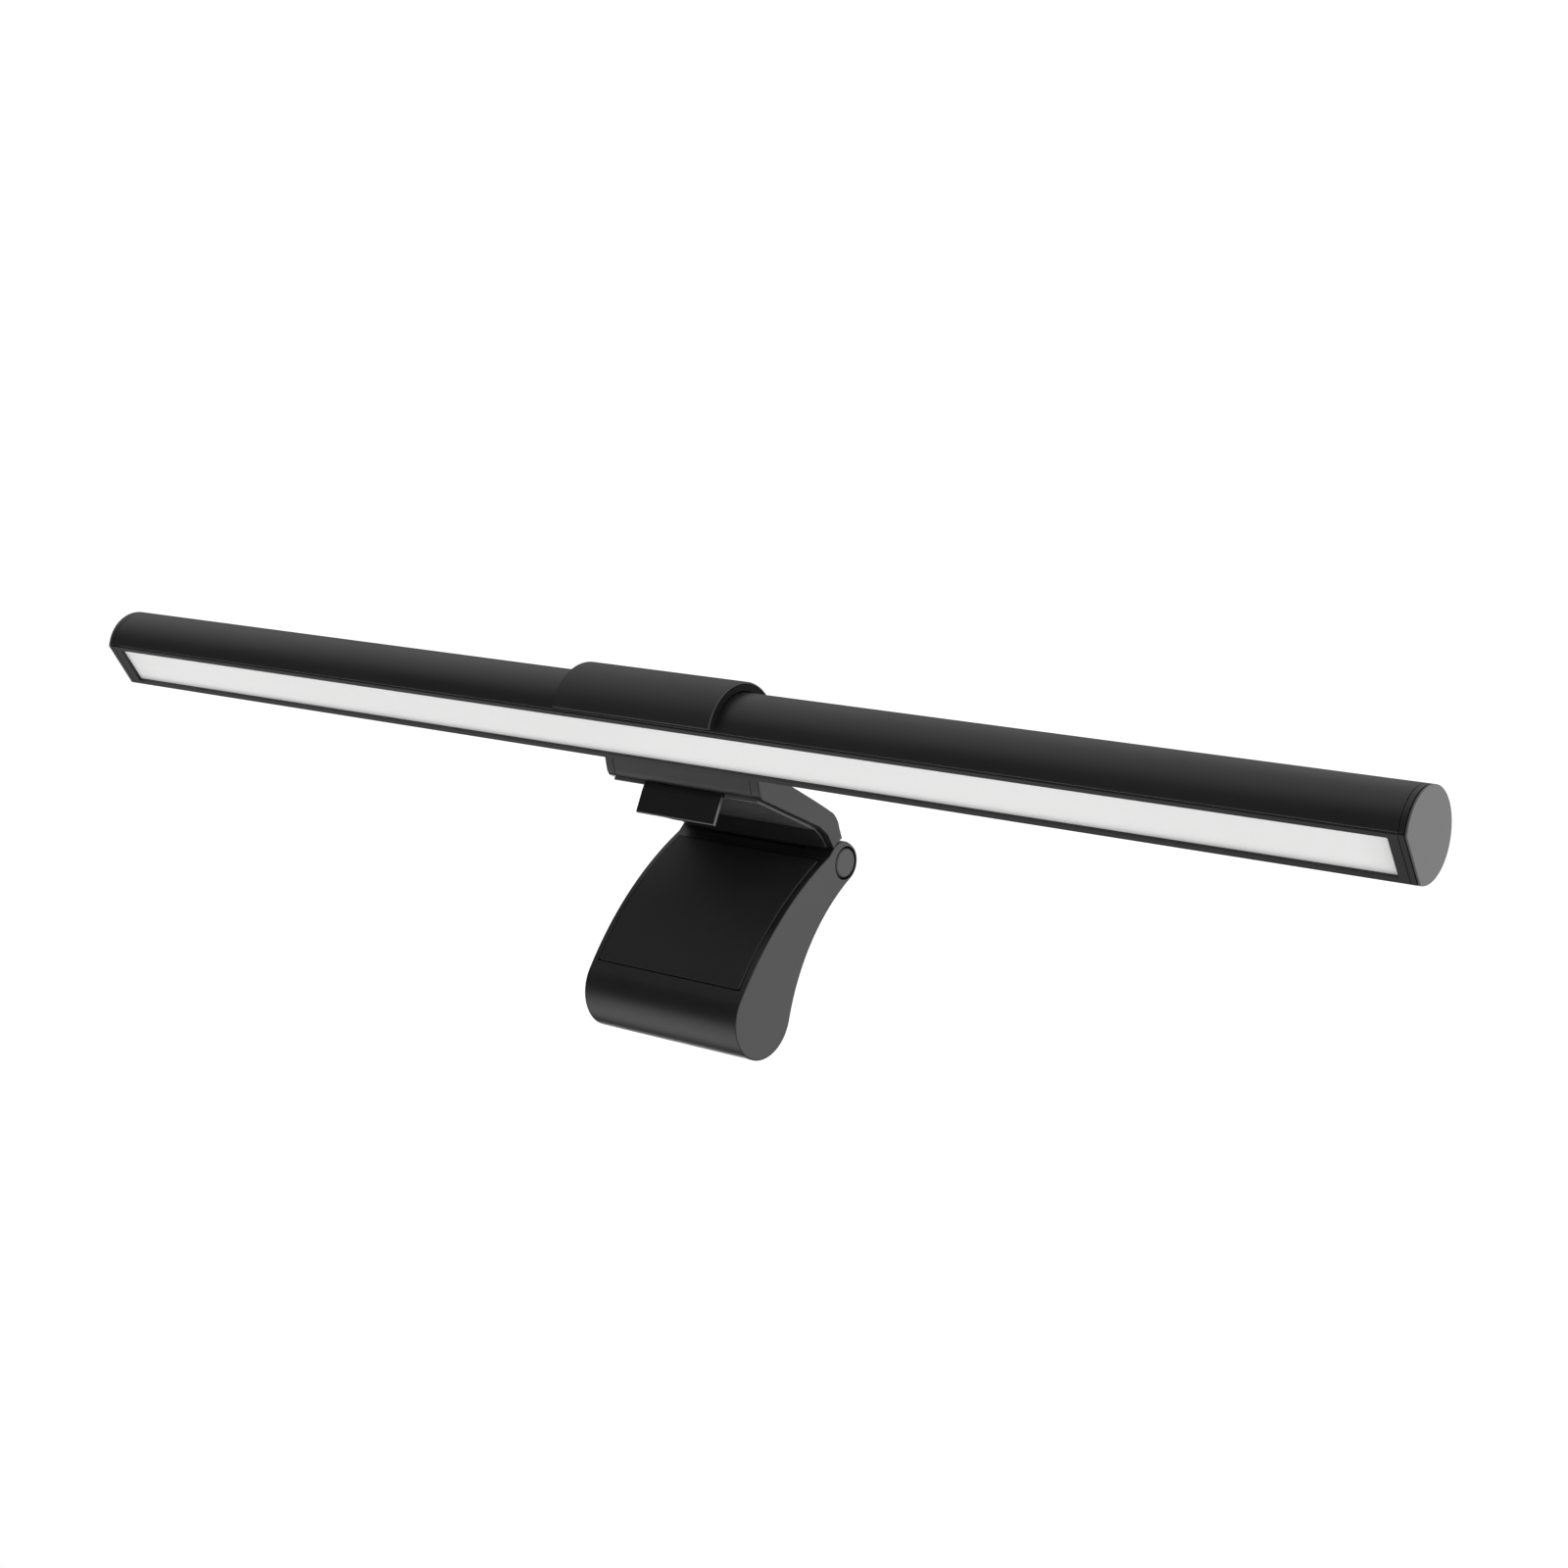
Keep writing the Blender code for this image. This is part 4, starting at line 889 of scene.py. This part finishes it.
class LIGHTBAR_OT_pad(bpy.types.Operator):
    """Rubber pad on the front of the arm"""
    bl_idname = "lightbar.pad"
    bl_label = "Screen pad"

    def execute(self, context):
        outline = ring_part(FRONT_CENTRE, 93.95, FRONT_RADIUS + 0.3, PAD_HIGH, PAD_LOW - PAD_HIGH,
                            step=1.2)
        shape = outline.pull(-PAD_END, PAD_END)
        centre = Vector((0.0, *FRONT_CENTRE))
        round_off(shape, [edge for edge in shape.edges if edge.calc_face_angle(0.0) > 1.2
                          and rise_of(edge, 0) < 0.01 and edge.calc_length() < 1.5
                          and abs((middle_of(edge) - centre).yz.length - 94.5) < 0.3], 0.9, 5)
        soften(shape, sizes().pad_edge / MM, segments=4)
        settle(to_piece("rubber_pad", shape), pad_rubber(), "arm", ["screen_pad"], ARM_PLACE)
        return {"FINISHED"}


class LIGHTBAR_OT_pin_caps(bpy.types.Operator):
    """Round caps over the ends of the hinge pin"""
    bl_idname = "lightbar.pin_caps"
    bl_label = "Pin caps"

    def execute(self, context):
        grey = surface("pin_cap_grey", [value * 0.28 for value in colours().cap], 0.40, 0.04,
                       grain=3200.0, depth=0.010, bump=0.3, blotch=160.0, shade=0.08)
        for side, name in ((-1, "left"), (1, "right")):
            shape = round_bar((side * 24.9, 0, 0), (side, 0, 0), 3.1, PIN_CAP_RADIUS - 0.15,
                              sides=72)
            soften(shape, 0.75, segments=6, where=lambda edge: abs(middle_of(edge).x) > 27.0)
            settle(to_piece(f"pin_cap_disc_{name}", shape), grey, "arm", [f"pin_cap_{name}"],
                   ARM_PLACE)
        return {"FINISHED"}


# ------------------------------------------------------------ pieces that keep the frame's shape
def refined(node, name, finish, body, edge=0.0, crease=30.0):
    """A welded, smoothed copy of a frame piece, with its edges eased."""
    shape = bmesh.new()
    shape.from_mesh(frame["nodes"][node].data)
    bmesh.ops.scale(shape, vec=(1 / MM, 1 / MM, 1 / MM), verts=shape.verts)
    bmesh.ops.remove_doubles(shape, verts=shape.verts, dist=0.0005)
    bmesh.ops.dissolve_limit(shape, angle_limit=math.radians(0.5), verts=shape.verts,
                             edges=shape.edges)
    bmesh.ops.recalc_face_normals(shape, faces=shape.faces)
    if edge:
        soften(shape, edge, segments=2, corner=50.0)
    return settle(to_piece(name, shape), finish, body, [node], crease=crease)


class LIGHTBAR_OT_inner_parts(bpy.types.Operator):
    """Optics, boards, leads, weight, spring and fixings inside the lamp and the clip"""
    bl_idname = "lightbar.inner_parts"
    bl_label = "Inner parts"

    def execute(self, context):
        steel, cast = bright_steel(), cast_metal()
        nodes = frame["nodes"]
        kept = {
            "reflector": white_film(),
            "led_carrier": bare_aluminium(),
            "led_board": board_mask("white_mask", (0.76, 0.76, 0.74)),
            "driver_board": board_mask("green_mask", (0.012, 0.12, 0.05)),
            "touch_board": board_mask("green_mask_touch", (0.012, 0.12, 0.05)),
            "lead_positive": lead_skin("lead_red", (0.42, 0.015, 0.015)),
            "lead_negative": lead_skin("lead_black", (0.012, 0.012, 0.012)),
            "touch_lead": lead_skin("lead_grey", (0.06, 0.06, 0.065)),
            "arm_front_plate": shell_black(),
        }
        for name, finish in kept.items():
            nodes[name].data.materials.clear()
            nodes[name].data.materials.append(finish)
        refined("counterweight", "weight_block", cast, "arm", edge=0.2)
        refined("hinge_core", "core_casting", dark_casting(), "bracket")
        refined("torsion_spring", "closing_spring", steel, "bracket")
        refined("hinge_pin", "pin_rod", steel, "arm")
        refined("tilt_stop_pin", "stop_pin", steel, "light_head")
        for side in ("left", "right"):
            refined(f"hinge_washer_{side}", f"washer_{side}", natural_nylon(), "bracket")
            refined(f"saddle_screw_{side}", f"saddle_fixing_{side}", steel, "bracket")
            for number in (1, 2):
                place = f"{side}_{number}"
                for kind, body in (("core", "bracket"), ("end", "light_head"), ("arm", "arm")):
                    refined(f"{kind}_screw_{place}", f"{kind}_fixing_{place}", steel, body)
        return {"FINISHED"}


# ------------------------------------------------------------ studio
VIEW_TURN, VIEW_RISE, CLIP_PITCH = 38.551, 11.444, 25.0
CAMERA_PLACE = (0.47237, -0.56939, -0.09731)
CAMERA_LENS, CAMERA_SENSOR = 61.62, 36.0
FLOOR_REACH, FLOOR_DEPTH = 6000.0, 20.0
STUDIO_FILL, PLAIN_AIR = 0.10, 1.1
STUDIO_GLOW = (  # direction, the cosines at which it starts and is full, strength
    ((1.0, 0.0, 0.0), 0.10, 0.80, 1.58),
    ((-0.36, 0.25, 0.90), 0.45, 0.95, 0.55),
    ((-0.50, -0.52, -0.69), 0.78, 0.97, 1.30),
    ((-0.61, 0.645, -0.46), 0.965, 0.995, 2.6),
    ((0.30, 0.93, 0.20), 0.50, 0.95, 0.3),
)


def studio_frame():
    """Turns the studio's directions, with the lamp tipped back as it is shown, into the lamp's."""
    return Matrix.Rotation(math.radians(CLIP_PITCH), 3, "X")


def seen_and_unseen(tree, seen, unseen, output):
    """One look to the camera and another to all other light."""
    path = add_node(tree, "LightPath").outputs["Is Camera Ray"]
    mix = add_node(tree, "MixShader", [("Fac", path), (1, unseen), (2, seen)])
    tree.links.new(mix.outputs["Shader"], tree.nodes[output].inputs["Surface"])


def studio_air():
    """Soft light by direction: strong from the right and below, mild from above, white to see."""
    world = bpy.data.worlds.new("studio_air")
    world.use_nodes = True
    tree = world.node_tree
    white = (1.0, 1.0, 1.0, 1.0)
    place = add_node(tree, "TexCoord").outputs["Generated"]
    turn = add_node(tree, "Mapping", [("Vector", place)],
                    Rotation=(-math.radians(CLIP_PITCH), 0.0, 0.0))
    total = None
    for direction, start, full, strength in STUDIO_GLOW:
        towards = add_node(tree, "VectorMath", [(0, turn.outputs["Vector"])])
        towards.operation = "DOT_PRODUCT"
        towards.inputs[1].default_value = direction
        step = fade(tree, towards.outputs["Value"], start, full, 0.0, strength)
        add = add_node(tree, "Math", [(0, step)])
        add.inputs[1].default_value = STUDIO_FILL
        if total is not None:
            tree.links.new(total, add.inputs[1])
        total = add.outputs["Value"]
    glow = tree.nodes["Background"]
    glow.inputs["Color"].default_value = white
    tree.links.new(total, glow.inputs["Strength"])
    plain = add_node(tree, "Background", Color=white, Strength=PLAIN_AIR)
    seen_and_unseen(tree, plain.outputs["Background"], glow.outputs["Background"], "World Output")
    return world


class LIGHTBAR_OT_stage(bpy.types.Operator):
    """Plain pale floor, soft studio light and the camera"""
    bl_idname = "lightbar.stage"
    bl_label = "Stage"

    def execute(self, context):
        scene = context.scene
        scene.view_settings.view_transform = "Standard"
        scene.view_settings.look = "None"
        reach_out = (-FLOOR_REACH, FLOOR_REACH)
        floor = to_piece("studio_floor", block(reach_out, reach_out, (-FLOOR_DEPTH, 0.0)))
        floor.location.z = -sizes().floor_drop
        finish, tree, shader = new_nodes("studio_pale")
        tree.nodes.remove(shader)
        seen_and_unseen(tree, add_node(tree, "Emission").outputs["Emission"],
                        add_node(tree, "BsdfTransparent").outputs["BSDF"], "Material Output")
        floor.data.materials.append(finish)
        scene.world = studio_air()
        lens = bpy.data.cameras.new("view")
        lens.lens, lens.sensor_width = CAMERA_LENS, CAMERA_SENSOR
        lens.clip_start, lens.clip_end = 0.01, 100.0
        camera = bpy.data.objects.new("view", lens)
        scene.collection.objects.link(camera)
        turn, rise = math.radians(VIEW_TURN), math.radians(VIEW_RISE)
        right = Vector((math.cos(turn), math.sin(turn), 0.0))
        level = math.cos(rise)
        back = Vector((math.sin(turn) * level, -math.cos(turn) * level, math.sin(rise)))
        axes = Matrix((right, back.cross(right), back)).transposed()
        camera.matrix_world = Matrix.Translation(CAMERA_PLACE) @ (studio_frame() @ axes).to_4x4()
        scene.camera = camera
        return {"FINISHED"}


# ------------------------------------------------------------ panel and registration
BUILD_STEPS = (LIGHTBAR_OT_tube, LIGHTBAR_OT_light_face, LIGHTBAR_OT_lamp_ends, LIGHTBAR_OT_inlet,
               LIGHTBAR_OT_saddle, LIGHTBAR_OT_neck, LIGHTBAR_OT_hook_and_rest, LIGHTBAR_OT_arm,
               LIGHTBAR_OT_pad, LIGHTBAR_OT_pin_caps, LIGHTBAR_OT_inner_parts, LIGHTBAR_OT_stage)


class LIGHTBAR_PT_panel(bpy.types.Panel):
    """Sizes, colours and building steps of the light bar"""
    bl_idname = "LIGHTBAR_PT_panel"
    bl_label = "Screen light bar"
    bl_space_type = "VIEW_3D"
    bl_region_type = "UI"
    bl_category = "Light bar"

    def draw(self, context):
        for group in (context.scene.light_bar_sizes, context.scene.light_bar_colours):
            column = self.layout.column(align=True)
            for name in group.__annotations__:
                column.prop(group, name)
        column = self.layout.column(align=True)
        for step in BUILD_STEPS:
            column.operator(step.bl_idname)


CLASSES = (LightBarSizes, LightBarColours, *BUILD_STEPS, LIGHTBAR_PT_panel)


def register():
    for item in CLASSES:
        bpy.utils.register_class(item)
    bpy.types.Scene.light_bar_sizes = bpy.props.PointerProperty(type=LightBarSizes)
    bpy.types.Scene.light_bar_colours = bpy.props.PointerProperty(type=LightBarColours)


def unregister():
    del bpy.types.Scene.light_bar_colours
    del bpy.types.Scene.light_bar_sizes
    for item in reversed(CLASSES):
        bpy.utils.unregister_class(item)


def main():
    register()
    bpy.ops.lightbar.tube()
    bpy.ops.lightbar.light_face()
    bpy.ops.lightbar.lamp_ends()
    bpy.ops.lightbar.inlet()
    bpy.ops.lightbar.saddle()
    bpy.ops.lightbar.neck()
    bpy.ops.lightbar.hook_and_rest()
    bpy.ops.lightbar.arm()
    bpy.ops.lightbar.pad()
    bpy.ops.lightbar.pin_caps()
    bpy.ops.lightbar.inner_parts()
    bpy.ops.lightbar.stage()


if __name__ == "__main__":
    main()
